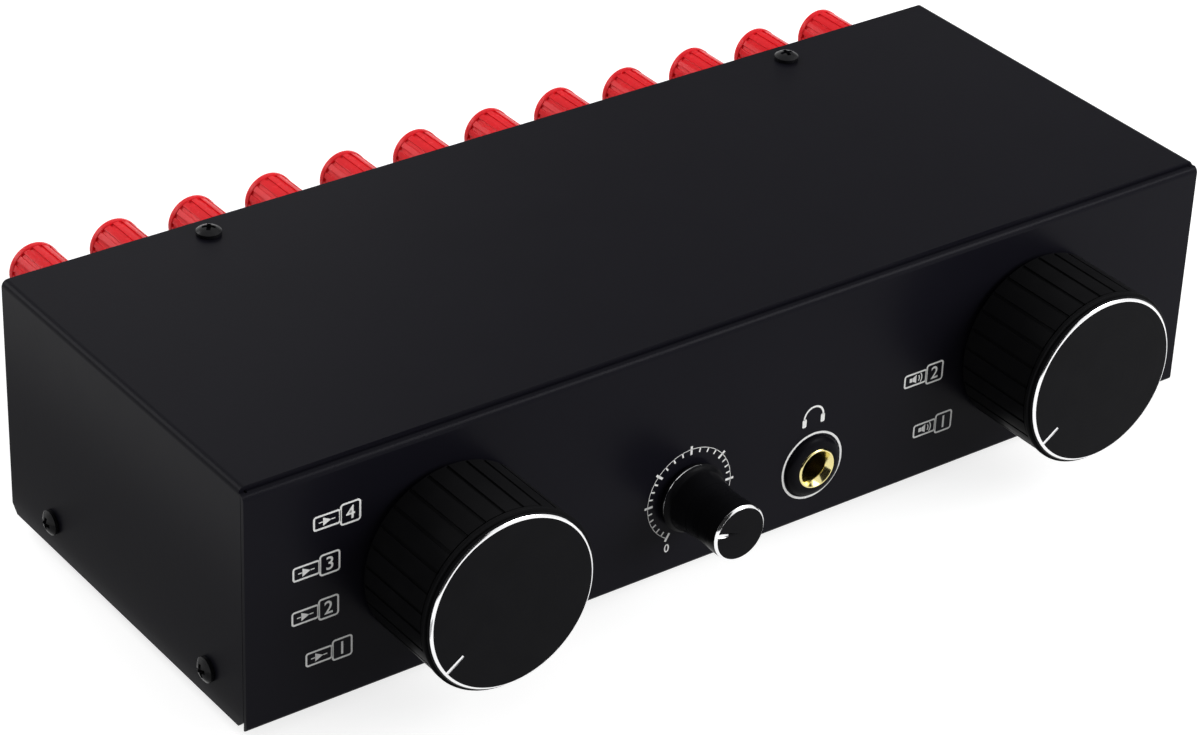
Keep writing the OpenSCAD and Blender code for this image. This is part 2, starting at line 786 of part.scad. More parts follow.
chassis();
rear_panel();
rear_flanges();
top_cover();
cover_screws();
rubber_feet();
post_studs();
red_collars();
black_collars();
post_bushes();
solder_tags();
post_nuts();
for (i = [0:post_count - 1]) red_cap(i);
for (i = [0:post_count - 1]) black_cap(i);
color("#1b1b1d") selector_knob(amp_x);  // amp_knob
color("#3a3a3c") grub_screw(amp_x);  // amp_knob_screw
color("#c8c8cc") switch_shaft(amp_x, amp_steps);  // amp_switch_shaft
switch_housing(amp_x);  // amp_switch_housing
switch_wafers(amp_x);  // amp_switch_wafers
color("#1b1b1d") selector_knob(speaker_x);  // speaker_knob
color("#3a3a3c") grub_screw(speaker_x);  // speaker_knob_screw
color("#c8c8cc") switch_shaft(speaker_x, speaker_steps);  // speaker_switch_shaft
switch_housing(speaker_x);  // speaker_switch_housing
switch_wafers(speaker_x);  // speaker_switch_wafers
switch_terminals();
panel_nuts();
volume_knob();
volume_shaft();
volume_pot_case();
volume_pot_terminals();
jack_body();
jack_sleeve();
jack_nut();
jack_contacts();
headphone_board();
resistors();
red_wires();
black_wires();
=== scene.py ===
"""Looks of a speaker selector switch.

A folded, powder-coated steel case with two turned selector knobs, a small volume knob and a
headphone jack in front, printed marks beside them, and two rows of screw posts behind.
Every length is in metres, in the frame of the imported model: +X to the right of the front
panel, +Y to the rear, +Z up.
"""

import json
import logging
import math
from collections.abc import Callable, Iterable
from dataclasses import dataclass, field
from enum import Enum

import bmesh
import bpy
from mathutils import Matrix, Vector

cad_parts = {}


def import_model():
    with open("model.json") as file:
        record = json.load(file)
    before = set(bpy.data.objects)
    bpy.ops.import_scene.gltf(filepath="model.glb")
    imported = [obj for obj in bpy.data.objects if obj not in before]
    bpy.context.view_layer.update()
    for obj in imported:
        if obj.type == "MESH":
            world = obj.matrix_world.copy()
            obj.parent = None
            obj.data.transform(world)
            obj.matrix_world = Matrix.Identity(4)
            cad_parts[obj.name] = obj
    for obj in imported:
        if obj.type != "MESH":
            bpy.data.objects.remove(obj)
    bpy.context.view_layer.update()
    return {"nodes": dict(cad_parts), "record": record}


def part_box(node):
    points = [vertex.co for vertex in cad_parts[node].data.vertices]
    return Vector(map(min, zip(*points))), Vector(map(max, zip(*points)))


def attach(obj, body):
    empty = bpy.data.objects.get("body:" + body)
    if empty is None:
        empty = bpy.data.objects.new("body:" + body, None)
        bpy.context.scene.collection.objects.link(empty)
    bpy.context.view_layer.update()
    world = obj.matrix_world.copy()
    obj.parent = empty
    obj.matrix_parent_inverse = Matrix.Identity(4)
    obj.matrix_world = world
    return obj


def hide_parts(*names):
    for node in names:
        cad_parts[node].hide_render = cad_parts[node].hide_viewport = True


MM = 0.001
TURN = math.tau
HAIR = 0.01 * MM
BLACK, BRIGHT, GRIP = range(3)
LOG = logging.getLogger("selector")

Colour = tuple[float, float, float]
Span = tuple[float, float]
Place = tuple[float, float, float]
Profile = list[tuple[float, float]]
Mesh = bmesh.types.BMesh
Material = bpy.types.Material
Socket = bpy.types.NodeSocket


class Facing(Enum):
    """Side of the case that a piece's own +Z points out of, as an angle and its axis."""

    FRONT = (math.pi / 2, "X")
    REAR = (-math.pi / 2, "X")
    LEFT = (-math.pi / 2, "Y")
    RIGHT = (math.pi / 2, "Y")
    UP = (0.0, "X")

    def at(self, place: Vector, turn: float = 0.0) -> Matrix:
        """Matrix that stands a piece at a place, turned about its own axis first."""
        angle, axis = self.value
        return Matrix.Translation(place) @ Matrix.Rotation(angle, 4, axis) @ Matrix.Rotation(turn, 4, "Z")


# ---- finishes ---------------------------------------------------------------


class Surface:
    """Node tree of one material, with short calls for what the finishes share."""

    # The Mix node has several sockets of each name; these are the ones for colours.
    MIX_LOW = 6
    MIX_HIGH = 7
    MIX_RESULT = 2

    def __init__(self, name: str, colour: Colour, roughness: float, metallic: float = 0.0) -> None:
        """Starts a material with a plain Principled shader.

        Args:
            name: Name of the material.
            colour: Base colour, linear.
            roughness: Roughness where nothing varies it.
            metallic: 1 for bare metal, 0 for anything else.
        """
        self.material = bpy.data.materials.new(name)
        self.material.use_nodes = True
        self.tree = self.material.node_tree
        self.shader = self.tree.nodes["Principled BSDF"]
        self.set("Base Color", (*colour, 1.0))
        self.set("Roughness", roughness)
        self.set("Metallic", metallic)
        self.material.diffuse_color = (*colour, 1.0)

    def set(self, socket: str, value: float | tuple) -> None:
        """Sets a value that is the same all over, on the shader's own socket."""
        self.shader.inputs[socket].default_value = value

    def node(self, kind: str, inputs: dict | None = None, **settings) -> bpy.types.Node:
        """Adds a node.

        Args:
            kind: Its type, without the ShaderNode prefix.
            inputs: Sockets by name or number: another node's output is linked, a value is set.
            **settings: Properties of the node.

        Returns:
            The new node.
        """
        made = self.tree.nodes.new("ShaderNode" + kind)
        for key, value in settings.items():
            setattr(made, key, value)
        for key, value in (inputs or {}).items():
            if isinstance(value, Socket):
                self.tree.links.new(value, made.inputs[key])
            else:
                made.inputs[key].default_value = value
        return made

    def place(self) -> Socket:
        """Position on the piece, in the row frame."""
        return self.node("TexCoord").outputs["Object"]

    def noise(self, scale: float, detail: float = 2.0, vector: Socket | None = None) -> Socket:
        """Noise from 0 to 1 over the piece, scale in periods per metre."""
        made = self.node("TexNoise", {"Vector": vector or self.place(), "Scale": scale, "Detail": detail})
        return made.outputs["Fac"]

    def spread(self, value: Socket, low: float, high: float, start: float = 0.3, end: float = 0.7) -> Socket:
        """Maps start..end of a value to low..high."""
        sockets = {"Value": value, "From Min": start, "From Max": end, "To Min": low, "To Max": high}
        return self.node("MapRange", sockets).outputs["Result"]

    def blend(self, factor: Socket, low: Colour, high: Colour) -> None:
        """Runs the base colour from one colour to another.

        Args:
            factor: How far it is from the first to the second, 0 to 1.
            low: The first colour.
            high: The second colour.
        """
        made = self.node("Mix", data_type="RGBA")
        self.tree.links.new(factor, made.inputs["Factor"])
        made.inputs[self.MIX_LOW].default_value = (*low, 1.0)
        made.inputs[self.MIX_HIGH].default_value = (*high, 1.0)
        self.tree.links.new(made.outputs[self.MIX_RESULT], self.shader.inputs["Base Color"])

    def mottle(self, pattern: Socket, colour: Colour, share: float) -> None:
        """Darkens the base colour in patches, down to a share of it."""
        self.blend(self.spread(pattern, 0.0, 1.0), tuple(share * c for c in colour), colour)

    def rough(self, value: Socket) -> None:
        """Drives the roughness."""
        self.tree.links.new(value, self.shader.inputs["Roughness"])

    def bump(self, height: Socket, depth: float) -> None:
        """Raises the surface, on top of what already raises it.

        Args:
            height: Height from 0 to 1.
            depth: What 1 stands for, in metres.
        """
        made = self.node("Bump", {"Height": height, "Distance": depth, "Strength": 1.0})
        if self.shader.inputs["Normal"].is_linked:
            before = self.shader.inputs["Normal"].links[0].from_socket
            self.tree.links.new(before, made.inputs["Normal"])
        self.tree.links.new(made.outputs["Normal"], self.shader.inputs["Normal"])

    def radius(self, centre: Vector) -> Socket:
        """Distance from an axis that runs from front to rear, in a form that a noise can read.

        Args:
            centre: A point on the axis.

        Returns:
            A vector whose X is the distance.
        """
        moved_place = self.node("VectorMath", {0: self.place(), 1: tuple(centre)}, operation="SUBTRACT")
        across = (1.0, 0.0, 1.0)
        flat = self.node("VectorMath", {0: moved_place.outputs[0], 1: across}, operation="MULTIPLY")
        length = self.node("VectorMath", {0: flat.outputs[0]}, operation="LENGTH")
        return self.node("CombineXYZ", {"X": length.outputs["Value"]}).outputs[0]


@dataclass(frozen=True)
class PowderCoat:
    """Semi-gloss powder coat with a fine orange peel."""

    name: str = "powder_coat"
    colour: Colour = (0.0055, 0.0053, 0.0081)
    roughness: Span = (0.28, 0.31)
    specular: float = 0.040
    sheen_scale: float = 120.0
    patch_scale: float = 38.0
    patch_share: float = 0.92
    peel_scale: float = 900.0
    peel_depth: float = 0.010 * MM
    grain_scale: float = 5200.0
    grain_depth: float = 0.0015 * MM

    def build(self) -> Material:
        """Makes the material.

        Returns:
            The coat.
        """
        s = Surface(self.name, self.colour, self.roughness[0])
        s.set("Specular IOR Level", self.specular)
        s.rough(s.spread(s.noise(self.sheen_scale, 4.0), *self.roughness))
        s.mottle(s.noise(self.patch_scale, 3.0), self.colour, self.patch_share)
        s.bump(s.noise(self.peel_scale, 2.0), self.peel_depth)
        s.bump(s.noise(self.grain_scale, 1.0), self.grain_depth)
        return s.material


@dataclass(frozen=True)
class TurnedBlack:
    """Black anodised metal with the lathe's fine rings round an axis."""

    name: str
    axis: Vector
    colour: Colour = (0.0060, 0.0060, 0.0070)
    roughness: Span = (0.26, 0.33)
    specular: float = 0.030
    ring_scale: float = 9000.0
    ring_depth: float = 0.0012 * MM
    patch_scale: float = 160.0
    patch_share: float = 0.85

    def build(self) -> Material:
        """Makes the material.

        Returns:
            The turned black.
        """
        s = Surface(self.name, self.colour, self.roughness[0])
        s.set("Specular IOR Level", self.specular)
        rings = s.noise(self.ring_scale, 1.0, s.radius(self.axis))
        s.rough(s.spread(rings, *self.roughness))
        s.bump(rings, self.ring_depth)
        s.mottle(s.noise(self.patch_scale), self.colour, self.patch_share)
        return s.material


@dataclass(frozen=True)
class CutMetal:
    """Bare aluminium where the tool cut through the black."""

    name: str
    axis: Vector
    colour: Colour = (0.93, 0.93, 0.94)
    roughness: Span = (0.10, 0.17)
    ring_scale: float = 14000.0
    patch_share: float = 0.93

    def build(self) -> Material:
        """Makes the material.

        Returns:
            The cut metal.
        """
        s = Surface(self.name, self.colour, self.roughness[0], 1.0)
        rings = s.noise(self.ring_scale, 1.0, s.radius(self.axis))
        s.rough(s.spread(rings, *self.roughness))
        s.mottle(rings, self.colour, self.patch_share)
        return s.material


@dataclass(frozen=True)
class Moulding:
    """Injection moulded plastic, from glossy to matt."""

    name: str
    colour: Colour
    roughness: Span = (0.16, 0.24)
    specular: float = 0.5
    glow: float = 0.0
    glow_reach: Colour = (1.0, 0.12, 0.08)
    glow_depth: float = 0.8 * MM
    sheen_scale: float = 420.0
    patch_scale: float = 140.0
    patch_share: float = 0.9
    ripple_scale: float = 700.0
    ripple_depth: float = 0.004 * MM

    def build(self) -> Material:
        """Makes the material.

        Returns:
            The plastic.
        """
        s = Surface(self.name, self.colour, self.roughness[0])
        s.set("Specular IOR Level", self.specular)
        if self.glow:
            s.set("Subsurface Weight", self.glow)
            s.set("Subsurface Radius", self.glow_reach)
            s.set("Subsurface Scale", self.glow_depth)
        s.rough(s.spread(s.noise(self.sheen_scale, 3.0), *self.roughness))
        s.mottle(s.noise(self.patch_scale), self.colour, self.patch_share)
        s.bump(s.noise(self.ripple_scale, 2.0), self.ripple_depth)
        return s.material


@dataclass(frozen=True)
class Plating:
    """Plated or polished metal: gilt, zinc or tin."""

    name: str
    colour: Colour
    roughness: Span
    sheen_scale: float = 300.0
    patch_scale: float = 150.0
    patch_share: float = 0.88
    grain_scale: float = 3000.0
    grain_depth: float = 0.0010 * MM

    def build(self) -> Material:
        """Makes the material.

        Returns:
            The plated metal.
        """
        s = Surface(self.name, self.colour, self.roughness[0], 1.0)
        s.rough(s.spread(s.noise(self.sheen_scale, 3.0), *self.roughness))
        s.mottle(s.noise(self.patch_scale), self.colour, self.patch_share)
        s.bump(s.noise(self.grain_scale, 1.0), self.grain_depth)
        return s.material


@dataclass(frozen=True)
class ScreenInk:
    """Thick white screen printing ink, a little uneven."""

    name: str = "screen_ink"
    colour: Colour = (0.84, 0.84, 0.83)
    roughness: Span = (0.42, 0.58)
    patch_scale: float = 2600.0
    patch_share: float = 0.84
    patch_depth: float = 0.004 * MM

    def build(self) -> Material:
        """Makes the material.

        Returns:
            The ink.
        """
        s = Surface(self.name, self.colour, self.roughness[0])
        patches = s.noise(self.patch_scale, 3.0)
        s.mottle(patches, self.colour, self.patch_share)
        s.rough(s.spread(patches, *self.roughness))
        s.bump(patches, self.patch_depth)
        return s.material


@dataclass(frozen=True)
class Laminate:
    """Pressed insulating sheet: layered phenolic or a masked circuit board."""

    name: str
    colour: Colour
    streak: Colour
    stretch: tuple[float, float, float] = (60.0, 4000.0, 60.0)
    roughness: Span = (0.38, 0.55)
    sheen_scale: float = 200.0
    grain_depth: float = 0.01 * MM

    def build(self) -> Material:
        """Makes the material.

        Returns:
            The sheet's finish.
        """
        s = Surface(self.name, self.colour, self.roughness[0])
        layers = s.node("Mapping", {"Vector": s.place(), "Scale": self.stretch})
        grain = s.noise(1.0, 4.0, layers.outputs[0])
        s.blend(s.spread(grain, 0.0, 1.0), self.colour, self.streak)
        s.rough(s.spread(s.noise(self.sheen_scale), *self.roughness))
        s.bump(grain, self.grain_depth)
        return s.material


# ---- shapes -----------------------------------------------------------------


def closed(bm: Mesh) -> Mesh:
    """Merges doubles and turns every face outwards.

    Args:
        bm: A shape without gaps.

    Returns:
        The same mesh.
    """
    bmesh.ops.remove_doubles(bm, verts=bm.verts, dist=1e-7)
    bmesh.ops.recalc_face_normals(bm, faces=bm.faces)
    return bm


def turned(profile: Profile, steps: int) -> Mesh:
    """Spins a profile into a closed shape about +Z.

    Args:
        profile: Points of (radius, height), from axis to axis, or a loop that ends where it starts.
        steps: Facets round the axis.

    Returns:
        The closed mesh.
    """
    bm = bmesh.new()
    verts = [bm.verts.new((r, 0.0, z)) for r, z in profile]
    edges = [bm.edges.new(pair) for pair in zip(verts, verts[1:])]
    bmesh.ops.spin(bm, geom=verts + edges, cent=(0, 0, 0), axis=(0, 0, 1), dvec=(0, 0, 0), angle=TURN,
                   steps=steps, use_merge=True, use_duplicate=False)
    return closed(bm)


def arc(centre: tuple[float, float], radius: float, start: float, end: float, steps: int) -> Profile:
    """Points of a round stretch of a profile, angles in degrees."""
    angles = [math.radians(start + (end - start) * i / steps) for i in range(steps + 1)]
    return [(centre[0] + radius * math.cos(a), centre[1] + radius * math.sin(a)) for a in angles]


def block(size: Vector, centre: Vector) -> Mesh:
    """Makes a box.

    Args:
        size: Its lengths along X, Y and Z.
        centre: Its middle.

    Returns:
        The closed mesh.
    """
    bm = bmesh.new()
    place = Matrix.Translation(centre) @ Matrix.Diagonal((*size, 1.0))
    bmesh.ops.create_cube(bm, size=1.0, matrix=place)
    return bm


def sheet(width: float, height: float) -> Mesh:
    """Makes a flat rectangle about its middle.

    Args:
        width: Its length along X.
        height: Its length along Y.

    Returns:
        The mesh, one face that looks up.
    """
    bm = bmesh.new()
    stretch = Matrix.Diagonal((width, height, 1, 1))
    bmesh.ops.create_grid(bm, x_segments=1, y_segments=1, size=0.5, matrix=stretch)
    return bm


def moved(bm: Mesh, matrix: Matrix) -> Mesh:
    """Moves a whole mesh."""
    bmesh.ops.transform(bm, matrix=matrix, verts=bm.verts)
    return bm


def joined(parts: Iterable[Mesh]) -> Mesh:
    """Gathers several meshes in one.

    Args:
        parts: The meshes; they are freed.

    Returns:
        The whole mesh.
    """
    whole = bmesh.new()
    for part in parts:
        mesh = bpy.data.meshes.new("part")
        part.to_mesh(mesh)
        part.free()
        whole.from_mesh(mesh)
        bpy.data.meshes.remove(mesh)
    return whole


def copies(bm: Mesh, places: Iterable[Matrix]) -> Mesh:
    """Repeats a mesh at several places.

    Args:
        bm: The mesh; it is freed.
        places: Matrix of each copy.

    Returns:
        All copies in one mesh.
    """
    whole = joined(moved(bm.copy(), matrix) for matrix in places)
    bm.free()
    return whole


def paint(bm: Mesh, index: int, wanted: Callable[[Vector], bool]) -> None:
    """Gives faces another of their piece's finishes.

    Args:
        bm: The mesh.
        index: Number of the finish; a knob's are BLACK, BRIGHT and GRIP.
        wanted: Tells from a face's middle whether it gets the finish.
    """
    for face in bm.faces:
        if wanted(face.calc_center_median()):
            face.material_index = index


def sink(bm: Mesh, faces: list[bmesh.types.BMFace], scale: float) -> None:
    """Extrudes faces of a turned wall towards its axis.

    Args:
        bm: The mesh.
        faces: The faces.
        scale: Their new distance from the axis, as a share of the old one.
    """
    made = bmesh.ops.extrude_face_region(bm, geom=faces)["geom"]
    verts = [item for item in made if isinstance(item, bmesh.types.BMVert)]
    bmesh.ops.scale(bm, vec=(scale, scale, 1.0), verts=verts)
    alive = [face for face in faces if face.is_valid]
    bmesh.ops.delete(bm, geom=alive, context="FACES")


def columns(bm: Mesh, low: float, high: float, count: int, share: float) -> list[bmesh.types.BMFace]:
    """Finds the upright wall faces that repeat round the axis.

    Args:
        bm: A turned mesh.
        low: Height above which the faces' middles lie.
        high: Height below which they lie.
        count: Grooves round the axis.
        share: Part of each pitch that is groove.

    Returns:
        The faces.
    """
    found = []
    for face in bm.faces:
        spot = face.calc_center_median()
        pitch = (math.atan2(spot.y, spot.x) / TURN * count) % 1.0
        upright = abs(face.normal.z) < 0.05
        if low < spot.z < high and upright and abs(pitch - 0.5) < 0.5 * share:
            found.append(face)
    return found


@dataclass
class Piece:
    """A finished object that stands in the row frame."""

    name: str
    body: str
    finishes: list[Material]
    slot: str = ""
    replaced: tuple[str, ...] = ()
    smooth: float = math.radians(35.0)
    bevel: float = 0.0
    bevel_steps: int = 2

    def build(self, bm: Mesh, cutters: Iterable[Mesh] = ()) -> None:
        """Makes the object from its mesh, riding on its body.

        Args:
            bm: The mesh, in place; it is freed.
            cutters: Closed meshes that are cut out of it; they are freed.
        """
        made = self.plain_object(self.name, bm)
        for cutter in cutters:
            self.cut(made, cutter)
        if self.bevel:
            soft = made.modifiers.new("edges", "BEVEL")
            soft.width = self.bevel
            soft.segments = self.bevel_steps
            soft.limit_method = "ANGLE"
            soft.angle_limit = self.smooth
            self.apply(made)
            made.data.set_sharp_from_angle(angle=self.smooth)
        flat = made.modifiers.new("flat_faces", "WEIGHTED_NORMAL")
        flat.keep_sharp = True
        self.apply(made)
        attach(made, self.body)
        if self.replaced:
            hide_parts(*self.replaced)
        LOG.info("%s: %d faces on %s", self.name, len(made.data.polygons), self.body)

    def plain_object(self, name: str, bm: Mesh) -> bpy.types.Object:
        """Turns a mesh into a smooth object with this piece's finishes.

        Args:
            name: Name of the object.
            bm: The mesh; it is freed.

        Returns:
            The object.
        """
        mesh = bpy.data.meshes.new(name)
        bm.to_mesh(mesh)
        bm.free()
        for finish in self.finishes:
            mesh.materials.append(finish)
        mesh.shade_smooth()
        mesh.set_sharp_from_angle(angle=self.smooth)
        made = bpy.data.objects.new(name, mesh)
        bpy.context.scene.collection.objects.link(made)
        return made

    def cut(self, made: bpy.types.Object, cutter: Mesh) -> None:
        """Cuts a shape out of the object; the new walls keep the cutter's finish.

        Args:
            made: The object.
            cutter: The closed shape; it is freed.
        """
        tool = self.plain_object("cutter", cutter)
        change = made.modifiers.new("cut", "BOOLEAN")
        change.operation = "DIFFERENCE"
        change.solver = "EXACT"
        change.object = tool
        change.material_mode = "INDEX"
        self.apply(made)
        made.data.set_sharp_from_angle(angle=self.smooth)
        mesh = tool.data
        bpy.data.objects.remove(tool)
        bpy.data.meshes.remove(mesh)

    def apply(self, made: bpy.types.Object) -> None:
        """Applies the object's modifiers to its mesh.

        Args:
            made: The object.
        """
        bpy.context.view_layer.update()
        graph = bpy.context.evaluated_depsgraph_get()
        mesh = bpy.data.meshes.new_from_object(made.evaluated_get(graph))
        old = made.data
        made.modifiers.clear()
        made.data = mesh
        bpy.data.meshes.remove(old)
        mesh.name = made.name


def middle(node: str) -> Vector:
    """Middle of a CAD node's box."""
    low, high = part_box(node)
    return 0.5 * (low + high)


def panel_foot(node: str) -> Vector:
    """Point on the front panel's face behind the middle of a node."""
    centre = middle(node)
    return Vector((centre.x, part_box("chassis")[0].y, centre.z))


# ---- the case ---------------------------------------------------------------


@dataclass
class Case:
    """Folded chassis, its cover, the screws that hold it and the feet."""

    nodes: dict[str, bpy.types.Object]
    sheets: tuple[str, ...] = ("chassis", "rear_panel", "rear_flanges", "top_cover")
    sheet_edge: float = 0.12 * MM
    flat_angle: float = math.radians(0.5)

    thread_radius: float = 1.4 * MM
    thread_length: float = 5.0 * MM
    head_radius: float = 2.8 * MM
    head_height: float = 1.85 * MM
    head_chamfer: float = 0.15 * MM
    head_side_share: float = 0.45
    dome_radius: float = 4.3 * MM
    dome_shoulder: float = 0.35 * MM
    dome_steps: int = 8
    recess_width: float = 1.15 * MM
    recess_span: float = 2.3 * MM
    recess_depth: float = 1.3 * MM
    recess_lift: float = 0.1 * MM
    recess_taper: tuple[float, float] = (0.45, 0.7)
    screw_steps: int = 48

    side_screw_front: float = 14.7 * MM
    side_screw_rear: float = 78.0 * MM
    side_screw_height: float = 7.0 * MM
    top_screw_inset: float = 5.8 * MM
    top_screw_x: float = 78.4 * MM
    screw_turns: tuple[float, ...] = (-0.6, 1.4, 0.294, 0.441, 1.56, 2.34)

    foot_radius: float = 6.0 * MM
    foot_round: float = 0.7 * MM
    foot_taper: float = 0.1 * MM
    foot_groove: tuple[float, float, float] = (0.35, 0.42, 0.5)
    foot_groove_depth: float = 0.25 * MM
    foot_steps: int = 48

    def build(self, coat: Material, screw: Material, rubber: Material) -> None:
        """Makes the sheet metal, screws and feet.

        Args:
            coat: Finish of the sheets.
            screw: Finish of the screws.
            rubber: Finish of the feet.
        """
        for node in self.sheets:
            piece = Piece(node + "_sheet", "case", [coat], "case_steel", (node,), bevel=self.sheet_edge)
            piece.build(self.folded(node))
        Piece("cover_screw_heads", "case", [screw], "screw_steel", ("cover_screws",)).build(self.screws())
        Piece("stick_on_feet", "case", [rubber], "foot_rubber", ("rubber_feet",)).build(self.feet())

    def folded(self, node: str) -> Mesh:
        """Copies a CAD sheet and merges its triangles into whole faces.

        Args:
            node: The sheet's node.

        Returns:
            The mesh.
        """
        bm = bmesh.new()
        bm.from_mesh(self.nodes[node].data)
        bmesh.ops.remove_doubles(bm, verts=bm.verts, dist=1e-6)
        bmesh.ops.dissolve_limit(bm, angle_limit=self.flat_angle, verts=bm.verts, edges=bm.edges)
        paint(bm, 0, lambda spot: True)
        return bm

    def screw_places(self) -> list[Matrix]:
        """Stands a screw on the cover's outside at each of its six holes.

        Returns:
            Matrices of the two on top, then of a left and a right one in front and at the rear.
        """
        low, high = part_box("top_cover")
        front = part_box("chassis")[0].y
        spots = [(Facing.UP, Vector((side * self.top_screw_x, high.y - self.top_screw_inset, high.z)))
                 for side in (-1, 1)]
        for y in (self.side_screw_front, self.side_screw_rear):
            for facing, x in ((Facing.LEFT, low.x), (Facing.RIGHT, high.x)):
                spots.append((facing, Vector((x, front + y, low.z + self.side_screw_height))))
        return [facing.at(spot, turn) for (facing, spot), turn in zip(spots, self.screw_turns)]

    def screws(self) -> Mesh:
        """Makes pan heads with a cross recess and a stub of thread.

        Returns:
            The six screws in one mesh.
        """
        piece = Piece("screw_blank", "case", [])
        made = piece.plain_object(piece.name, turned(self.screw_profile(), self.screw_steps))
        for angle in (0.0, math.pi / 2):
            piece.cut(made, self.recess_arm(angle))
        whole = bmesh.new()
        whole.from_mesh(made.data)
        bpy.data.objects.remove(made)
        return copies(whole, self.screw_places())

    def screw_profile(self) -> Profile:
        """Draws a screw's outline from the end of its thread to the top of its head.

        Returns:
            The outline.
        """
        thread, head, chamfer = self.thread_radius, self.head_radius, self.head_chamfer
        side = self.head_height * self.head_side_share
        points = [(0.0, -self.thread_length), (thread, -self.thread_length), (thread, 0.0)]
        points += [(head - chamfer, 0.0), (head, chamfer), (head, side)]
        centre = self.head_height - self.dome_radius
        for i in range(1, self.dome_steps + 1):
            radius = head * (1 - i / self.dome_steps)
            dome = centre + math.sqrt(self.dome_radius ** 2 - radius * radius)
            shoulder = side + self.dome_shoulder * min(1.0, i / 2)
            points.append((radius, max(shoulder, min(dome, self.head_height))))
        return points

    def recess_arm(self, angle: float) -> Mesh:
        """Makes one tapered arm of the cross that presses the recess.

        Args:
            angle: Its turn about the screw's axis, in radians.

        Returns:
            The arm, as a cutter.
        """
        size = Vector((2 * self.recess_span, self.recess_width, 2 * self.recess_depth))
        arm = block(size, Vector((0, 0, self.head_height + self.recess_lift)))
        low = [v for v in arm.verts if v.co.z < self.head_height]
        bmesh.ops.scale(arm, vec=(*self.recess_taper, 1.0), verts=low)
        return moved(arm, Matrix.Rotation(angle, 4, "Z"))

    def feet(self) -> Mesh:
        """Makes the four round stick-on feet.

        Returns:
            The feet in one mesh.
        """
        low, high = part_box("rubber_feet")
        radius, soft, height = self.foot_radius, self.foot_round, high.z - low.z
        inner, deep, outer = (share * radius for share in self.foot_groove)
        profile = [(0.0, 0.0), (inner, 0.0), (deep, self.foot_groove_depth), (outer, 0.0)]
        profile += arc((radius - soft - self.foot_taper, soft), soft, -90, 0, 5)
        profile += [(radius, height), (0.0, height)]
        spots = [(x, y) for x in (low.x + radius, high.x - radius) for y in (low.y + radius, high.y - radius)]
        places = [Matrix.Translation((x, y, low.z)) for x, y in spots]
        return copies(turned(profile, self.foot_steps), places)


# ---- knobs ------------------------------------------------------------------


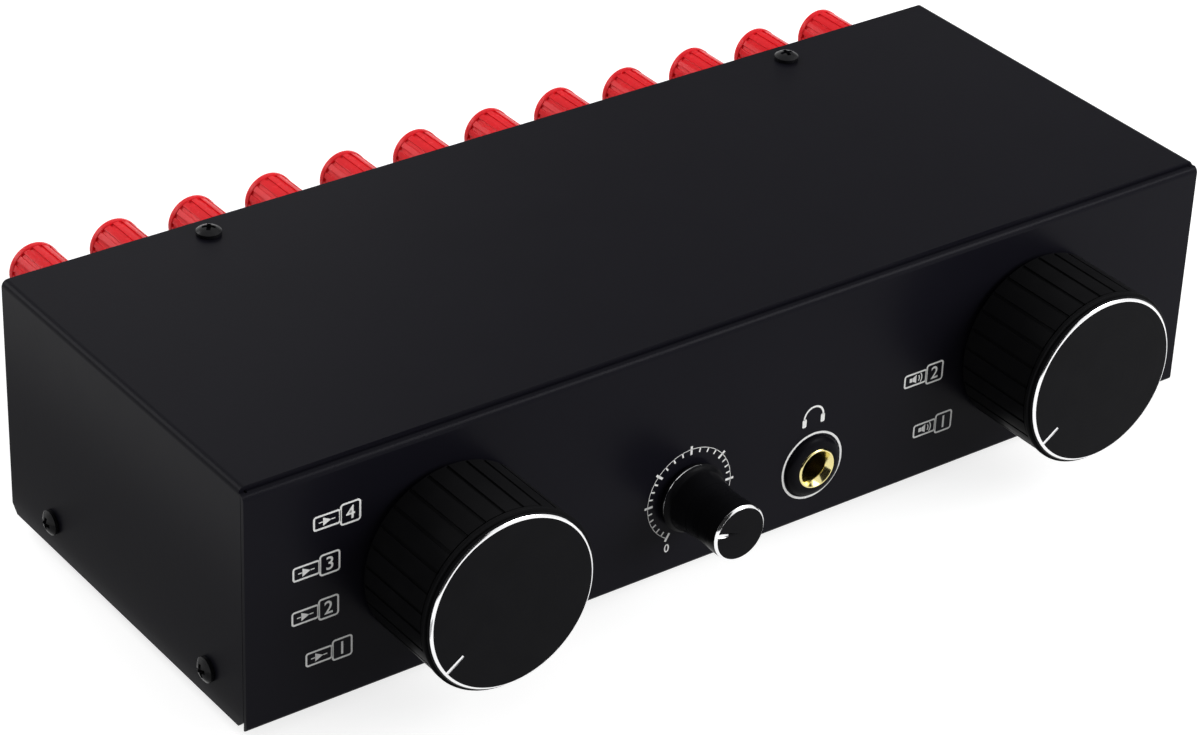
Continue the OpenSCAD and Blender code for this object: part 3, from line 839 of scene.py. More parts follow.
@dataclass
class SelectorKnob:
    """Turned selector knob with a cut rim, a pointer line and a grooved skirt.

    Heights are from the panel, and drops from the knob's face.
    """

    node: str
    body: str
    gap: float = 1.0 * MM
    hollow_radius: float = 11.0 * MM
    hollow_height: float = 9.0 * MM

    skirt_radius: float = 20.3 * MM
    skirt_round: float = 0.4 * MM
    skirt_drop: float = 2.7 * MM
    flutes: int = 28
    flute_share: float = 2 / 12
    flute_depth: float = 0.42 * MM
    groove_radius: float = 19.6 * MM
    grip_share: float = 0.9

    ring_radius: float = 20.5 * MM
    ring_round: float = 0.1 * MM
    ring_low_drop: float = 2.3 * MM
    ring_high_drop: float = 1.4 * MM

    rim_radius: float = 19.85 * MM
    rim_low_drop: float = 1.0 * MM
    rim_drop: float = 0.81 * MM
    cut_width: float = 0.55 * MM
    cut_drop: float = 0.43 * MM
    edge_width: float = 0.3 * MM
    edge_drop: float = 0.12 * MM
    face_radius: float = 19.0 * MM

    pointer_start: float = 14.3 * MM
    pointer_past: float = 0.5 * MM
    pointer_width: float = 0.75 * MM
    pointer_depth: float = 0.12 * MM
    pointer_angle: float = math.radians(-145.0)

    grub_radius: float = 2.0 * MM
    grub_height: float = 14.0 * MM
    grub_depth: float = 9.0 * MM
    grub_past: float = 0.5 * MM
    grub_steps: int = 32

    grip_colour: Colour = (0.0085, 0.0085, 0.0092)
    grip_roughness: Span = (0.30, 0.38)
    grip_specular: float = 0.006
    soft_edge: float = 0.06 * MM
    sharp_angle: float = math.radians(30.0)
    steps: int = 336
    foot: Vector = field(init=False)
    reach: float = field(init=False)

    def __post_init__(self) -> None:
        """Finds the knob's axis on the panel, and how far its face is from it."""
        self.foot = panel_foot(self.node)
        self.reach = self.foot.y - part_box(self.node)[0].y

    def build(self) -> None:
        """Makes the knob with its rim, pointer and grub screw's hole."""
        black = TurnedBlack(self.node + "_black", self.foot).build()
        bright = CutMetal(self.node + "_cut", self.foot).build()
        grip = TurnedBlack(self.node + "_grip", self.foot, self.grip_colour, self.grip_roughness,
                           self.grip_specular).build()
        stand = Facing.FRONT.at(self.foot, self.pointer_angle)
        piece = Piece(self.node + "_turned", self.body, [black, bright, grip], "knob_metal", (self.node,),
                      smooth=self.sharp_angle, bevel=self.soft_edge)
        cutters = [moved(self.pointer(), stand), moved(self.grub_hole(), stand)]
        piece.build(moved(self.blank(), stand), cutters)

    def blank(self) -> Mesh:
        """Turns the knob and cuts the grooves of its skirt.

        Returns:
            The knob, its axis along +Z.
        """
        top, skirt, ring = self.reach, self.skirt_radius, self.ring_radius
        groove, face, soft = self.groove_radius, self.face_radius, self.ring_round
        profile = [
            (0.0, self.hollow_height),
            (self.hollow_radius, self.hollow_height),
            (self.hollow_radius, self.gap),
            (skirt - self.skirt_round, self.gap),
            (skirt, self.gap + self.skirt_round),
            (skirt, top - self.skirt_drop),
            (groove, top - self.skirt_drop),
            (groove, top - self.ring_low_drop),
            (ring - soft, top - self.ring_low_drop),
            (ring, top - self.ring_low_drop + soft),
            (ring, top - self.ring_high_drop - soft),
            (ring - soft, top - self.ring_high_drop),
            (groove, top - self.ring_high_drop),
            (groove, top - self.rim_low_drop),
            (self.rim_radius, top - self.rim_low_drop),
            (self.rim_radius, top - self.rim_drop),
            (face + self.cut_width, top - self.cut_drop),
            (face + self.edge_width, top - self.edge_drop),
            (face, top),
            (0.0, top),
        ]
        bm = turned(profile, self.steps)
        wall = columns(bm, self.gap, top - self.skirt_drop, self.flutes, self.flute_share)
        sink(bm, wall, 1 - self.flute_depth / skirt)
        inside = self.grip_share * groove
        paint(bm, GRIP, lambda spot: spot.z < top - self.rim_drop and spot.xy.length > inside)
        paint(bm, BRIGHT, lambda spot: spot.z > top - self.cut_drop + HAIR and spot.xy.length > face)
        return bm

    def pointer(self) -> Mesh:
        """Makes the cutter of the bright pointer line.

        Returns:
            A bar along the face's radius.
        """
        length = self.face_radius + self.pointer_past - self.pointer_start
        line = block(Vector((length, self.pointer_width, 2 * self.pointer_depth)),
                     Vector((self.pointer_start + 0.5 * length, 0, self.reach)))
        paint(line, BRIGHT, lambda spot: True)
        return line

    def grub_hole(self) -> Mesh:
        """Makes the drill of the grub screw's hole, opposite the pointer.

        Returns:
            The drill, from outside the skirt inwards.
        """
        r, start, end = self.grub_radius, -MM, self.grub_depth
        drill = turned([(0, start), (r, start), (r, end), (0, end)], self.grub_steps)
        stand = Matrix.Translation((-self.ring_radius - self.grub_past, 0, self.grub_height))
        return moved(drill, stand @ Matrix.Rotation(math.pi / 2, 4, "Y"))


@dataclass
class VolumeKnob:
    """Small flanged knob with a drawn-in waist, a cut rim and a pointer notch.

    Heights are from the panel.
    """

    gap: float = 0.6 * MM
    hollow_radius: float = 5.9 * MM
    hollow_height: float = 5.0 * MM

    flange_radius: float = 7.8 * MM
    flange_round: float = 0.1 * MM
    flange_height: float = 1.3 * MM
    flange_steps: tuple[tuple[float, float], ...] = ((0.2 * MM, 1.65 * MM), (0.6 * MM, 1.85 * MM))
    cut_height: float = 1.6 * MM
    cut_half: float = 0.25 * MM
    cut_width: float = 0.5 * MM

    cove_centre: tuple[float, float] = (8.9 * MM, 3.5 * MM)
    cove_radius: float = 1.9 * MM
    cove_angles: tuple[float, float] = (245, 190)
    neck_radius: float = 7.03 * MM
    neck_height: float = 3.2 * MM
    waist_radius: float = 6.2 * MM
    waist_share: float = 0.9
    waist_points: int = 8

    face_radius: float = 6.5 * MM
    rim: float = 0.5 * MM
    pointer_start: float = 3.3 * MM
    pointer_past: float = 1.0 * MM
    pointer_width: float = 0.9 * MM
    pointer_depth: float = 0.25 * MM
    pointer_angle: float = math.radians(168.0)
    soft_edge: float = 0.05 * MM
    sharp_angle: float = math.radians(30.0)
    steps: int = 128

    def build(self) -> None:
        """Makes the knob."""
        foot = panel_foot("volume_knob")
        reach = foot.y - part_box("volume_knob")[0].y
        black = TurnedBlack("volume_black", foot).build()
        bright = CutMetal("volume_cut", foot).build()
        stand = Facing.FRONT.at(foot, self.pointer_angle)
        piece = Piece("volume_knob_turned", "volume_control", [black, bright], "knob_metal",
                      ("volume_knob",), smooth=self.sharp_angle, bevel=self.soft_edge)
        piece.build(moved(self.blank(reach), stand), [moved(self.pointer(reach), stand)])

    def blank(self, reach: float) -> Mesh:
        """Turns the knob and cuts its rim and the edge of its flange bright.

        Args:
            reach: Height of its face.

        Returns:
            The knob, its axis along +Z.
        """
        bm = turned(self.profile(reach), self.steps)
        rim_low, rim_inner = reach - self.rim + HAIR, self.face_radius - self.rim
        edge, half, edge_inner = self.cut_height, self.cut_half, self.flange_radius - self.cut_width
        paint(bm, BRIGHT, lambda spot: spot.z > rim_low and spot.xy.length > rim_inner)
        paint(bm, BRIGHT, lambda spot: abs(spot.z - edge) < half and spot.xy.length > edge_inner)
        return bm

    def pointer(self, reach: float) -> Mesh:
        """Makes the cutter of the bright pointer notch.

        Args:
            reach: Height of the knob's face.

        Returns:
            A bar along the face's radius.
        """
        length = self.face_radius + self.pointer_past - self.pointer_start
        line = block(Vector((length, self.pointer_width, 2 * self.pointer_depth)),
                     Vector((self.pointer_start + 0.5 * length, 0, reach)))
        paint(line, BRIGHT, lambda spot: True)
        return line

    def profile(self, reach: float) -> Profile:
        """Draws the outline from the hollow back, over the flange and the waist, to the face.

        Args:
            reach: Height of the face.

        Returns:
            The outline.
        """
        face, flange, soft = self.face_radius, self.flange_radius, self.flange_round
        points = [
            (0.0, self.hollow_height),
            (self.hollow_radius, self.hollow_height),
            (self.hollow_radius, self.gap),
            (flange - soft, self.gap),
            (flange, self.gap + soft),
            (flange, self.flange_height),
        ]
        points += [(flange - inset, height) for inset, height in self.flange_steps]
        points += arc(self.cove_centre, self.cove_radius, *self.cove_angles, 6)
        rise = reach - self.rim - self.neck_height
        for i in range(1, self.waist_points + 1):
            share = i / self.waist_points
            straight = self.neck_radius + (face - self.neck_radius) * share
            bulge = self.waist_share * math.sin(math.pi * share) ** 2
            radius = straight - (straight - self.waist_radius) * bulge
            points.append((radius, self.neck_height + rise * share))
        points += [(face - self.rim, reach), (0.0, reach)]
        return points


# ---- headphone jack ---------------------------------------------------------


@dataclass
class HeadphoneJack:
    """Gilt threaded sleeve and the ring nut that covers its thread."""

    sleeve_radius: float = 4.76 * MM
    proud: float = 2.0 * MM
    depth: float = 8.0 * MM
    thread_pitch: float = 0.5 * MM
    thread_depth: float = 0.22 * MM
    thread_margin: float = 0.3 * MM
    core_inset: float = 0.1 * MM
    lip_inset: float = 0.25 * MM
    lip_round: tuple[float, float] = (0.05 * MM, 0.2 * MM)

    bore_radius: float = 3.25 * MM
    bore_drop: float = 1.6 * MM
    throat: tuple[float, float] = (0.12 * MM, 1.35 * MM)
    mouth_inner: float = 4.25 * MM
    mouth_outer: float = 4.33 * MM
    mouth_drop: float = 0.08 * MM

    nut_radius: float = 7.2 * MM
    nut_crown_radius: float = 5.1 * MM
    nut_height: float = 1.7 * MM
    nut_side: float = 0.2 * MM
    nut_play: float = 0.06 * MM
    nut_points: int = 10

    soft_edge: float = 0.05 * MM
    sharp_angle: float = math.radians(30.0)
    steps: int = 96

    def build(self, gilt: Material, black: Material) -> None:
        """Makes the sleeve and the nut.

        Args:
            gilt: Finish of the sleeve.
            black: Finish of the nut.
        """
        stand = Facing.FRONT.at(panel_foot("jack_sleeve"))
        for node, finish, slot, profile in (
                ("jack_sleeve", gilt, "gilt_brass", self.sleeve_profile()),
                ("jack_nut", black, "black_plastic", self.nut_profile())):
            piece = Piece(node + "_turned", "case", [finish], slot, (node,), smooth=self.sharp_angle,
                          bevel=self.soft_edge)
            piece.build(moved(turned(profile, self.steps), stand))

    def sleeve_profile(self) -> Profile:
        """Draws a loop down the threaded outside and back up the countersunk bore.

        Returns:
            The outline.
        """
        r, bore, top = self.sleeve_radius, self.bore_radius, self.proud
        lip = (r - self.lip_inset, top)
        points = [lip, (r - self.lip_round[0], top - self.lip_round[1])]
        height = top - self.thread_margin
        while height > self.thread_margin:
            points += [(r, height), (r - self.thread_depth, height - 0.5 * self.thread_pitch)]
            height -= self.thread_pitch
        core = r - self.core_inset
        points += [(core, self.core_inset), (core, -self.depth), (bore, -self.depth)]
        points += [(bore, top - self.bore_drop), (bore + self.throat[0], top - self.throat[1])]
        points += [(self.mouth_inner, top - self.mouth_drop), (self.mouth_outer, top), lip]
        return points

    def nut_profile(self) -> Profile:
        """Draws a loop round the domed ring.

        Returns:
            The outline.
        """
        r, h, side = self.nut_radius, self.nut_height, self.nut_side
        inner = self.sleeve_radius + self.nut_play
        angles = [math.pi / 2 * i / self.nut_points for i in range(self.nut_points + 1)]
        crown = [(r - (r - self.nut_crown_radius) * (1 - math.cos(a)), side + (h - side) * math.sin(a))
                 for a in angles]
        return [(inner, 0), (r, 0), *crown, (inner, h), (inner, 0)]


# ---- printed marks ----------------------------------------------------------


class Sign(Enum):
    """Small plain figure printed in a low box."""

    AMPLIFIER = "amplifier"
    SPEAKER = "speaker"


@dataclass
class PanelPrint:
    """Everything printed on the front panel: the scale, numbered boxes and signs.

    Places are from the panel's lower left corner.
    """

    ink: Material
    thickness: float = 0.03 * MM
    line: float = 0.42 * MM
    arc_step: float = 3.0
    corner_steps: int = 5
    figure_share: float = 0.72
    figure_weight: float = 0.012

    dial_place: tuple[float, float] = (109.0 * MM, 18.4 * MM)
    dial_radius: float = 10.9 * MM
    dial_line: float = 0.13 * MM
    dial_marks: tuple[float, ...] = (240, 180, 140, 90, 40, 0, -60)
    dial_parts: tuple[int, ...] = (6, 4, 4, 4, 4, 6)
    long_mark: tuple[float, float, float] = (9.6 * MM, 11.7 * MM, 0.55 * MM)
    short_mark: tuple[float, float, float] = (9.8 * MM, 10.95 * MM, 0.36 * MM)
    zero_angle: float = math.radians(246)
    zero_radius: float = 13.1 * MM
    zero_height: float = 2.0 * MM

    low_box: tuple[float, float, float] = (6.4 * MM, 3.4 * MM, 0.7 * MM)
    tall_box: tuple[float, float, float] = (4.9 * MM, 5.1 * MM, 0.8 * MM)
    number_height: float = 3.1 * MM
    amplifier_boxes_mm: tuple[tuple[float, float], ...] = (
        (20.0, 12.25), (16.8, 23.25), (17.1, 33.7), (21.9, 43.9))
    speaker_boxes_mm: tuple[tuple[float, float], ...] = ((177.2, 12.45), (173.3, 26.4))

    jack_ring: tuple[float, float] = (7.72 * MM, 8.24 * MM)
    headphones_shift: tuple[float, float] = (-0.4 * MM, 12.3 * MM)
    headphones_radius: float = 2.6 * MM

    shapes: list[Mesh] = field(default_factory=list)
    origin: Vector = field(init=False)

    def __post_init__(self) -> None:
        """Finds the panel."""
        self.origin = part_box("chassis")[0]

    def build(self) -> None:
        """Prints every mark as one piece."""
        self.dial_scale()
        self.boxes()
        self.jack_marks()
        Piece("panel_print", "case", [self.ink]).build(joined(self.shapes))

    def lay(self, bm: Mesh, x: float, z: float) -> None:
        """Thickens a flat figure and lays it on the panel.

        Args:
            bm: The figure, drawn in X and Y.
            x: Its place from the panel's left end.
            z: Its height.
        """
        made = bmesh.ops.extrude_face_region(bm, geom=list(bm.faces))["geom"]
        verts = [item for item in made if isinstance(item, bmesh.types.BMVert)]
        bmesh.ops.translate(bm, vec=(0, 0, self.thickness), verts=verts)
        bmesh.ops.recalc_face_normals(bm, faces=bm.faces)
        self.shapes.append(moved(bm, Facing.FRONT.at(self.origin + Vector((x, 0, z)))))

    def band(self, inner: float, outer: float, start: float, end: float) -> Mesh:
        """Makes a flat arc.

        Args:
            inner: Its inner radius.
            outer: Its outer radius.
            start: Angle of its one end, in degrees.
            end: Angle of its other end.

        Returns:
            The figure, about the arc's centre.
        """
        bm = bmesh.new()
        verts = [bm.verts.new((r, 0, 0)) for r in (inner, outer)]
        edge = bm.edges.new(verts)
        sweep = abs(end - start)
        bmesh.ops.spin(bm, geom=verts + [edge], cent=(0, 0, 0), axis=(0, 0, 1), dvec=(0, 0, 0),
                       angle=math.radians(end - start), steps=max(2, int(sweep / self.arc_step)),
                       use_merge=sweep > 359.9, use_duplicate=False)
        return moved(bm, Matrix.Rotation(math.radians(start), 4, "Z"))

    def bar(self, inner: float, outer: float, width: float, angle: float) -> Mesh:
        """Makes a flat stroke along a radius, angle in degrees."""
        stroke = moved(sheet(outer - inner, width), Matrix.Translation((0.5 * (inner + outer), 0, 0)))
        return moved(stroke, Matrix.Rotation(math.radians(angle), 4, "Z"))

    def rounded(self, width: float, height: float, corner: float) -> Mesh:
        """Makes a flat rectangle with round corners.

        Args:
            width: Its length along X.
            height: Its length along Y.
            corner: Radius of its corners.

        Returns:
            The figure, about its middle.
        """
        bm = sheet(width, height)
        bmesh.ops.bevel(bm, geom=list(bm.verts), offset=corner, offset_type="OFFSET",
                        segments=self.corner_steps, profile=0.5, affect="VERTICES", material=-1)
        return bm

    def frame(self, width: float, height: float, corner: float) -> Mesh:
        """Makes the outline of a rounded rectangle.

        Args:
            width: Its length along X.
            height: Its length along Y.
            corner: Radius of its corners.

        Returns:
            The figure, about its middle.
        """
        bm = self.rounded(width, height, corner)
        inner = list(bm.faces)
        bmesh.ops.inset_region(bm, faces=inner, thickness=self.line, use_boundary=True, use_even_offset=True)
        bmesh.ops.delete(bm, geom=inner, context="FACES_ONLY")
        return bm

    def digit(self, text: str, height: float) -> Mesh:
        """Makes a plain numeral.

        Args:
            text: The numeral.
            height: How tall it is.

        Returns:
            The figure, about its middle.
        """
        curve = bpy.data.curves.new("figure", "FONT")
        curve.body = text
        curve.size = height / self.figure_share
        curve.offset = self.figure_weight * height
        holder = bpy.data.objects.new("figure", curve)
        bpy.context.scene.collection.objects.link(holder)
        bpy.context.view_layer.update()
        graph = bpy.context.evaluated_depsgraph_get()
        mesh = bpy.data.meshes.new_from_object(holder.evaluated_get(graph))
        bpy.data.objects.remove(holder)
        bpy.data.curves.remove(curve)
        bm = bmesh.new()
        bm.from_mesh(mesh)
        bpy.data.meshes.remove(mesh)
        bmesh.ops.remove_doubles(bm, verts=bm.verts, dist=1e-7)
        xs = [v.co.x for v in bm.verts]
        ys = [v.co.y for v in bm.verts]
        centre = Vector((0.5 * (min(xs) + max(xs)), 0.5 * (min(ys) + max(ys)), 0))
        bmesh.ops.translate(bm, vec=-centre, verts=bm.verts)
        return bm

    def outline(self, points: Profile) -> Mesh:
        """Makes a flat figure with straight sides.

        Args:
            points: Its corners, in millimetres.

        Returns:
            The figure.
        """
        bm = bmesh.new()
        bm.faces.new([bm.verts.new((x * MM, y * MM, 0)) for x, y in points])
        return bm

    def dial_scale(self) -> None:
        """Prints the volume scale: a thin arc, graduations, and a plain 0 at its start."""
        x, z = self.dial_place
        marks, half = self.dial_marks, 0.5 * self.dial_line
        self.lay(self.band(self.dial_radius - half, self.dial_radius + half, marks[-1], marks[0]), x, z)
        for angle in marks:
            self.lay(self.bar(*self.long_mark, angle), x, z)
        for start, end, count in zip(marks, marks[1:], self.dial_parts):
            for i in range(1, count):
                self.lay(self.bar(*self.short_mark, start + (end - start) * i / count), x, z)
        x += self.zero_radius * math.cos(self.zero_angle)
        z += self.zero_radius * math.sin(self.zero_angle)
        self.lay(self.digit("0", self.zero_height), x, z)

    def numbered(self, x: float, z: float, text: str, sign: Sign) -> None:
        """Prints a sign in a low box and a number in the taller box to its right.

        Args:
            x: Where the two boxes meet, from the panel's left end.
            z: Height of their middle.
            text: The number.
            sign: Figure in the low box.
        """
        centre = x - 0.5 * self.low_box[0] + 0.5 * self.line
        right = x + 0.5 * self.tall_box[0]
        self.lay(self.frame(*self.low_box), centre, z)
        self.lay(self.frame(*self.tall_box), right, z)
        self.lay(self.digit(text, self.number_height), right, z)
        if sign is Sign.AMPLIFIER:
            self.amplifier_sign(centre, z)
        else:
            self.speaker_sign(centre, z)

    def amplifier_sign(self, x: float, z: float) -> None:
        """Prints a triangle with a line into it and out of it.

        Args:
            x: Its middle, from the panel's left end.
            z: Height of its middle.
        """
        triangle = [(-0.9, -0.95), (0.95, 0.0), (-0.9, 0.95)]
        lead, width = 0.9 * MM, 0.24 * MM
        self.lay(self.outline(triangle), x, z)
        for start in (-1.9 * MM, 1.0 * MM):
            self.lay(self.bar(0, lead, width, 0), x + start, z)

    def speaker_sign(self, x: float, z: float) -> None:
        """Prints a magnet, a cone and two waves.

        Args:
            x: Its middle, from the panel's left end.
            z: Height of its middle.
        """
        magnet, magnet_shift = (0.8 * MM, 1.0 * MM, 0.1 * MM), -1.25 * MM
        cone = [(-0.75, -0.45), (0.25, -1.0), (0.25, 1.0), (-0.75, 0.45)]
        half_line, half_angle = 0.13 * MM, 38
        self.lay(self.rounded(*magnet), x + magnet_shift, z)
        self.lay(self.outline(cone), x, z)
        for radius in (1.1 * MM, 1.8 * MM):
            self.lay(self.band(radius - half_line, radius + half_line, -half_angle, half_angle), x, z)

    def boxes(self) -> None:
        """Prints the four amplifier boxes and the two loudspeaker boxes beside their knobs."""
        rows = {Sign.AMPLIFIER: self.amplifier_boxes_mm, Sign.SPEAKER: self.speaker_boxes_mm}
        for sign, places in rows.items():
            for number, (x, z) in enumerate(places, start=1):
                self.numbered(x * MM, z * MM, str(number), sign)

    def jack_marks(self) -> None:
        """Prints the ring round the jack and a pair of headphones above it."""
        centre = middle("jack_sleeve") - self.origin
        self.lay(self.band(*self.jack_ring, 0, 360), centre.x, centre.z)
        right, up = self.headphones_shift
        self.headphones(centre.x + right, centre.z + up, self.headphones_radius)

    def headphones(self, x: float, z: float, radius: float) -> None:
        """Prints a plain headphone sign.

        Args:
            x: Middle of its band, from the panel's left end.
            z: Height of the band's ends.
            radius: Radius of the band.
        """
        half_line, cup = 0.22 * MM, (1.1 * MM, 2.1 * MM, 0.4 * MM)
        cup_inset, cup_drop = 0.1 * MM, 0.9 * MM
        self.lay(self.band(radius - half_line, radius + half_line, 0, 180), x, z)
        for side in (-1, 1):
            self.lay(self.rounded(*cup), x + side * (radius - cup_inset), z - cup_drop)


# ---- binding posts ----------------------------------------------------------


@dataclass
class BindingPosts:
    """Two rows of screw caps on insulating collars."""

    red: Material
    black: Material
    count: int = 12
    radius: float = 6.0 * MM
    hole: float = 3.06 * MM

    barrel_inset: float = 0.12 * MM
    barrel_start: float = 0.9 * MM
    seat_inset: float = 0.7 * MM
    seat_round: tuple[float, float] = (0.1 * MM, 0.5 * MM)
    flutes: int = 16
    steps_per_flute: int = 8
    flute_steps: int = 3
    flute_depth: float = 0.30 * MM
    flange: float = 2.0 * MM
    flange_round: float = 0.1 * MM
    end_round: float = 0.9 * MM
    end_recess: float = 0.5 * MM
    end_ring: float = 0.9 * MM

    collar_bore: float = 2.05 * MM
    boss_radius: float = 3.9 * MM
    boss_height: float = 1.0 * MM
    collar_height: float = 5.0 * MM
    collar_recess: float = 2.0 * MM
    collar_foot: float = 0.2 * MM
    collar_round: float = 0.6 * MM
    collar_steps: int = 64

    soft_edge: float = 0.08 * MM
    sharp_angle: float = math.radians(32.0)

    def build(self) -> None:
        """Makes the caps and collars of both rows."""
        for colour, finish in (("red", self.red), ("black", self.black)):
            slot, collars = colour + "_plastic", colour + "_collars"
            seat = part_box(collars)[0].y
            places = []
            for number in range(1, self.count + 1):
                node = f"{colour}_cap_{number}"
                low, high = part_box(node)
                foot = Vector((middle(node).x, low.y, middle(node).z))
                places.append(Facing.REAR.at(Vector((foot.x, seat, foot.z))))
                piece = Piece(node + "_moulded", node, [finish], slot, (node,), smooth=self.sharp_angle,
                              bevel=self.soft_edge)
                piece.build(moved(self.cap(high.y - low.y), Facing.REAR.at(foot)))
            piece = Piece(colour + "_collar_rings", "case", [finish], slot, (collars,),
                          smooth=self.sharp_angle, bevel=self.soft_edge)
            piece.build(copies(self.collar(), places))

    def cap(self, length: float) -> Mesh:
        """Turns a cap from its collar end to its open end, and cuts the grip.

        Args:
            length: How long it is.

        Returns:
            The cap, its axis along +Z.
        """
        r, hole, barrel = self.radius, self.hole, self.radius - self.barrel_inset
        shoulder, recess = length - self.flange, length - self.end_recess
        profile = [(hole, 0.0), (r - self.seat_inset, 0.0)]
        profile += [(barrel - self.seat_round[0], self.seat_round[1]), (barrel, self.barrel_start)]
        profile += [(barrel, shoulder), (r, shoulder + self.flange_round)]
        profile += arc((r - self.end_round, length - self.end_round), self.end_round, 0, 80, 6)
        profile += [(hole + self.end_ring, length), (hole + self.end_recess, recess)]
        profile += [(hole, recess), (hole, 0.0)]
        bm = turned(profile, self.flutes * self.steps_per_flute)
        share = self.flute_steps / self.steps_per_flute
        wall = columns(bm, self.barrel_start, shoulder, self.flutes, share)
        outer = [face for face in wall if face.calc_center_median().xy.length > hole + MM]
        sink(bm, outer, 1 - self.flute_depth / barrel)
        return bm

    def collar(self) -> Mesh:
        """Turns a collar from its boss in the panel to the cap's seat.

        Returns:
            The collar, its axis along +Z.
        """
        r, bore, boss = self.radius, self.collar_bore, self.boss_radius
        rear, seat, soft = self.boss_height, self.collar_height, self.collar_round
        profile = [(bore, 0.0), (boss, 0.0), (boss, rear)]
        profile += [(r - self.collar_foot, rear), (r, rear + self.collar_foot)]
        profile += arc((r - soft, seat - soft), soft, 0, 90, 5)
        floor = seat - self.collar_recess
        profile += [(self.hole, seat), (self.hole, floor), (bore, floor), (bore, 0.0)]
        return turned(profile, self.collar_steps)


# ---- pieces that stay as the CAD made them ----------------------------------


@dataclass
class CarriedOver:
    """Gives each carried-over CAD node the finish of its material slot."""

    nodes: dict[str, bpy.types.Object]
    record: dict

    def build(self, finishes: dict[str, Material]) -> None:
        """Assigns the finishes.

        Args:
            finishes: The finish of each slot.
        """
        slots = {part["node"]: part["material_slot"] for part in self.record["subparts"]}
        for name, node in self.nodes.items():
            finish = finishes[slots[name]]
            node.data.materials.clear()
            node.data.materials.append(finish)
            LOG.info("%s: finish %s", name, finish.name)


# ---- studio -----------------------------------------------------------------


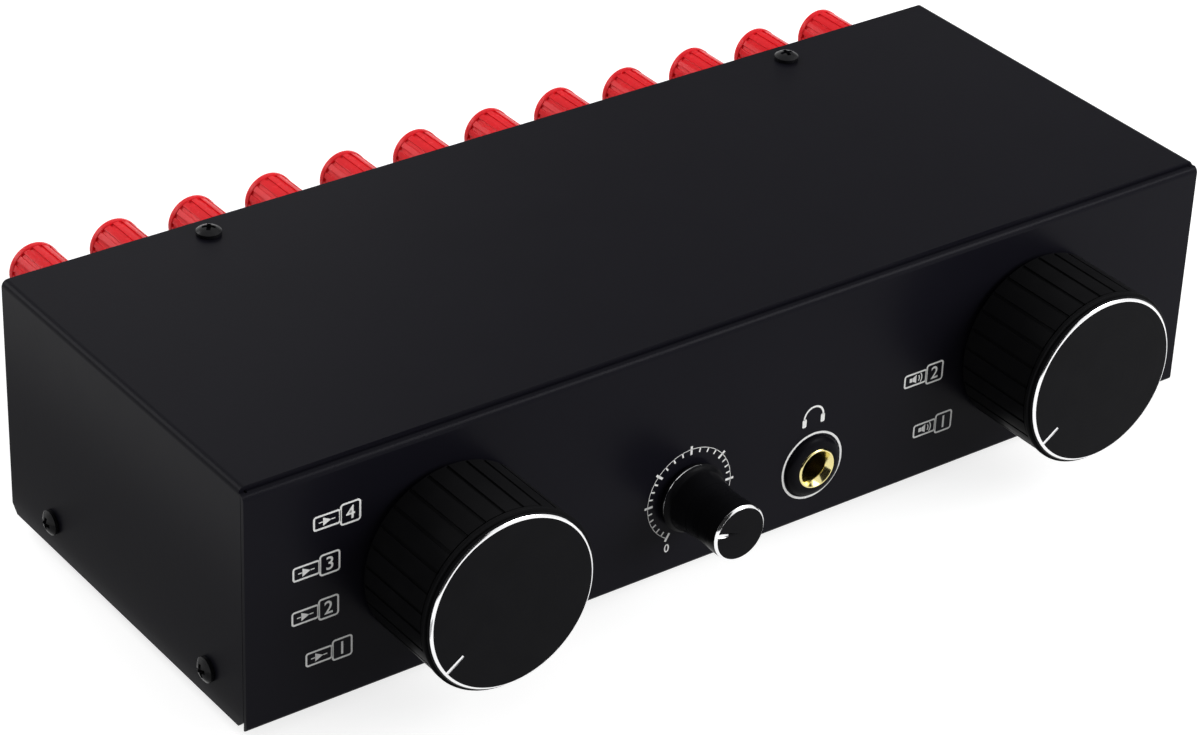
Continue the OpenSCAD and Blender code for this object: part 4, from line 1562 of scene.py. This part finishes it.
@dataclass
class Studio:
    """Camera, lamps, and a white world and floor."""

    eye: Place = (-0.44223, -0.57431, 0.46148)
    ahead: Place = (0.51740, 0.68191, -0.51700)
    right: Place = (0.80899, -0.58673, 0.03573)
    focal_length: float = 115.28
    film_width: float = 36.0
    far_end: float = 200.0
    target: Place = (0.0, 0.0, 0.03)
    sky: float = 0.42
    floor_grey: float = 0.5
    floor_roughness: float = 0.9
    floor_size: float = 60.0
    floor_glow: float = 0.74
    floor_catch: float = 0.50

    def build(self) -> None:
        """Makes the whole studio."""
        self.camera()
        self.world()
        self.floor()
        self.lamp("key", (0.75, -0.75, 0.45), width=1.0, height=0.7, power=13.5)
        self.lamp("rear_fill", (-0.25, 1.15, 0.60), width=0.8, height=0.6, power=13.0)
        self.card("dark_card", (-0.68, -0.76, 0.62), self.target, width=1.4, height=1.4, glow=0.02)
        self.card("grey_card", (1.04, 0.73, 0.72), self.target, width=1.1, height=0.8, glow=0.36)
        self.card("front_fold_card", (0.72, -0.70, 0.92), self.target, width=0.6, height=0.6, glow=7.0)
        self.card("left_fold_card", (-0.68, 0.91, 0.62), self.target, width=0.6, height=0.6, glow=4.0)
        # Grey strip lying on the floor by the left side, seen only in the side's gloss: painted shade that
        # stands in for the case's shadow on the floor in that reflection.
        self.card("painted_floor_shade_card", (-0.144, 0.05, 0.0008), (-0.144, 0.05, 1.0), width=0.032, height=0.36,
                  glow=0.42)

    def camera(self) -> None:
        """Stands the camera where the photo was taken from."""
        data = bpy.data.cameras.new("view")
        data.lens = self.focal_length
        data.sensor_width = self.film_width
        data.sensor_fit = "HORIZONTAL"
        data.clip_end = self.far_end
        made = bpy.data.objects.new("view", data)
        ahead = Vector(self.ahead).normalized()
        right = Vector(self.right)
        right = (right - ahead * right.dot(ahead)).normalized()
        turn = Matrix((right, right.cross(ahead), -ahead)).transposed().to_4x4()
        made.matrix_world = Matrix.Translation(self.eye) @ turn
        bpy.context.scene.collection.objects.link(made)
        bpy.context.scene.camera = made

    def lamp(self, name: str, place: Place, width: float, height: float, power: float) -> None:
        """Adds a soft box that faces the case and leaves no glare in its gloss.

        Args:
            name: Name of the lamp.
            place: Where it hangs.
            width: Its width.
            height: Its height.
            power: Its power in watts.
        """
        data = bpy.data.lights.new(name, "AREA")
        data.shape = "RECTANGLE"
        data.size = width
        data.size_y = height
        data.energy = power
        made = bpy.data.objects.new(name, data)
        made.visible_glossy = False
        aim = Vector(self.target) - Vector(place)
        made.matrix_world = Matrix.Translation(place) @ aim.to_track_quat("-Z", "Y").to_matrix().to_4x4()
        bpy.context.scene.collection.objects.link(made)

    def card(self, name: str, place: Place, aim: Place, width: float, height: float, glow: float) -> None:
        """Hangs a card that is seen only in the gloss and polished metal of the switch.

        Args:
            name: Name of the card.
            place: Its middle.
            aim: Point that it faces.
            width: Its width.
            height: Its height.
            glow: How bright it looks there, 1 for white.
        """
        facing = (Vector(aim) - Vector(place)).to_track_quat("Z", "Y").to_matrix().to_4x4()
        surface = Surface(name, (0.0, 0.0, 0.0), 1.0)
        surface.set("Specular IOR Level", 0.0)
        surface.set("Emission Color", (glow, glow, glow, 1.0))
        surface.set("Emission Strength", 1.0)
        bm = moved(sheet(width, height), Matrix.Translation(place) @ facing)
        made = self.stage_object(name, bm, surface.material)
        made.visible_camera = False
        made.visible_diffuse = False
        made.visible_transmission = False
        made.visible_shadow = False

    def stage_object(self, name: str, bm: Mesh, material: Material) -> bpy.types.Object:
        """Makes an object of the studio.

        Args:
            name: Its name.
            bm: Its mesh; it is freed.
            material: Its material.

        Returns:
            The object.
        """
        mesh = bpy.data.meshes.new(name)
        bm.to_mesh(mesh)
        bm.free()
        mesh.materials.append(material)
        made = bpy.data.objects.new(name, mesh)
        bpy.context.scene.collection.objects.link(made)
        return made

    def seen(self, tree: bpy.types.NodeTree) -> Socket:
        """Tells rays that show something from rays that light something.

        Args:
            tree: Node tree of a material or a world.

        Returns:
            1 for camera, glossy and transmission rays, else 0.
        """
        path = tree.nodes.new("ShaderNodeLightPath")
        total = path.outputs["Is Camera Ray"]
        for kind in ("Is Glossy Ray", "Is Transmission Ray"):
            either = tree.nodes.new("ShaderNodeMath")
            either.operation = "MAXIMUM"
            tree.links.new(total, either.inputs[0])
            tree.links.new(path.outputs[kind], either.inputs[1])
            total = either.outputs[0]
        return total

    def world(self) -> None:
        """Lights the studio evenly, and looks white where it is seen."""
        world = bpy.data.worlds.new("studio")
        bpy.context.scene.world = world
        world.use_nodes = True
        tree = world.node_tree
        background = tree.nodes["Background"]
        background.inputs["Color"].default_value = (1.0, 1.0, 1.0, 1.0)
        level = tree.nodes.new("ShaderNodeMapRange")
        tree.links.new(self.seen(tree), level.inputs["Value"])
        level.inputs["To Min"].default_value = self.sky
        level.inputs["To Max"].default_value = 1.0
        tree.links.new(level.outputs["Result"], background.inputs["Strength"])

    def floor(self) -> None:
        """Lays a floor that looks white and still takes the shadow."""
        surface = Surface("floor_paper", (self.floor_grey,) * 3, self.floor_roughness)
        surface.set("Specular IOR Level", 0.0)
        tree = surface.tree
        glow = surface.node("Emission", {"Color": (1, 1, 1, 1), "Strength": self.floor_glow})
        catch = surface.node("BsdfDiffuse", {"Color": (*(self.floor_catch,) * 3, 1)})
        both = surface.node("AddShader", {0: glow.outputs[0], 1: catch.outputs[0]})
        plain = surface.shader.outputs[0]
        mix = surface.node("MixShader", {0: self.seen(tree), 1: plain, 2: both.outputs[0]})
        tree.links.new(mix.outputs[0], tree.nodes["Material Output"].inputs["Surface"])
        self.stage_object("floor", sheet(self.floor_size, self.floor_size), surface.material)


def slot_finishes() -> dict[str, Material]:
    """Builds one finish for each material slot of the record, and the panel's ink.

    Returns:
        The finish of each slot.
    """
    kinds = {
        "case_steel": PowderCoat(),
        "screw_steel": Moulding("black_zinc", (0.005, 0.005, 0.006), (0.22, 0.34), 0.16),
        "foot_rubber": Moulding("foot_rubber", (0.012, 0.012, 0.012), (0.75, 0.9), 0.3,
                                ripple_depth=0.02 * MM),
        "knob_metal": TurnedBlack("knob_black", Vector((0, 0, 0))),
        "red_plastic": Moulding("cap_red", (0.82, 0.012, 0.020), (0.20, 0.30), 0.13, 0.12),
        "black_plastic": Moulding("cap_black", (0.0048, 0.0046, 0.0062), (0.24, 0.34), 0.03),
        "gilt_brass": Plating("gilt_brass", (0.88, 0.77, 0.35), (0.12, 0.22)),
        "bright_steel": Plating("zinc_steel", (0.62, 0.62, 0.64), (0.24, 0.38)),
        "tinned_metal": Plating("tinned", (0.70, 0.70, 0.71), (0.28, 0.45)),
        "insulator": Moulding("insulator", (0.010, 0.010, 0.011), (0.42, 0.55), 0.4),
        "wafer_board": Laminate("phenolic", (0.13, 0.05, 0.018), (0.20, 0.085, 0.03)),
        "circuit_board": Laminate("circuit_board", (0.02, 0.12, 0.045), (0.03, 0.17, 0.07), (300, 40, 300)),
        "resistor_body": Moulding("resistor", (0.24, 0.33, 0.38), (0.4, 0.55), 0.4),
        "panel_ink": ScreenInk(),
        "red_wire": Moulding("red_lead", (0.50, 0.015, 0.02), (0.34, 0.46), 0.45),
        "black_wire": Moulding("black_lead", (0.015, 0.015, 0.016), (0.34, 0.46), 0.45),
    }
    return {slot: finish.build() for slot, finish in kinds.items()}


def main() -> None:
    """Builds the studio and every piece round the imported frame."""
    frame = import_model()
    bpy.context.scene.view_settings.view_transform = "Standard"
    finishes = slot_finishes()
    Studio().build()
    CarriedOver(frame["nodes"], frame["record"]).build(finishes)
    Case(frame["nodes"]).build(finishes["case_steel"], finishes["screw_steel"], finishes["foot_rubber"])
    SelectorKnob("amp_knob", "amp_selector_knob").build()
    SelectorKnob("speaker_knob", "speaker_selector_knob").build()
    VolumeKnob().build()
    HeadphoneJack().build(finishes["gilt_brass"], finishes["black_plastic"])
    PanelPrint(finishes["panel_ink"]).build()
    BindingPosts(finishes["red_plastic"], finishes["black_plastic"]).build()


if __name__ == "__main__":
    logging.basicConfig(level=logging.INFO, format="%(message)s")
    main()
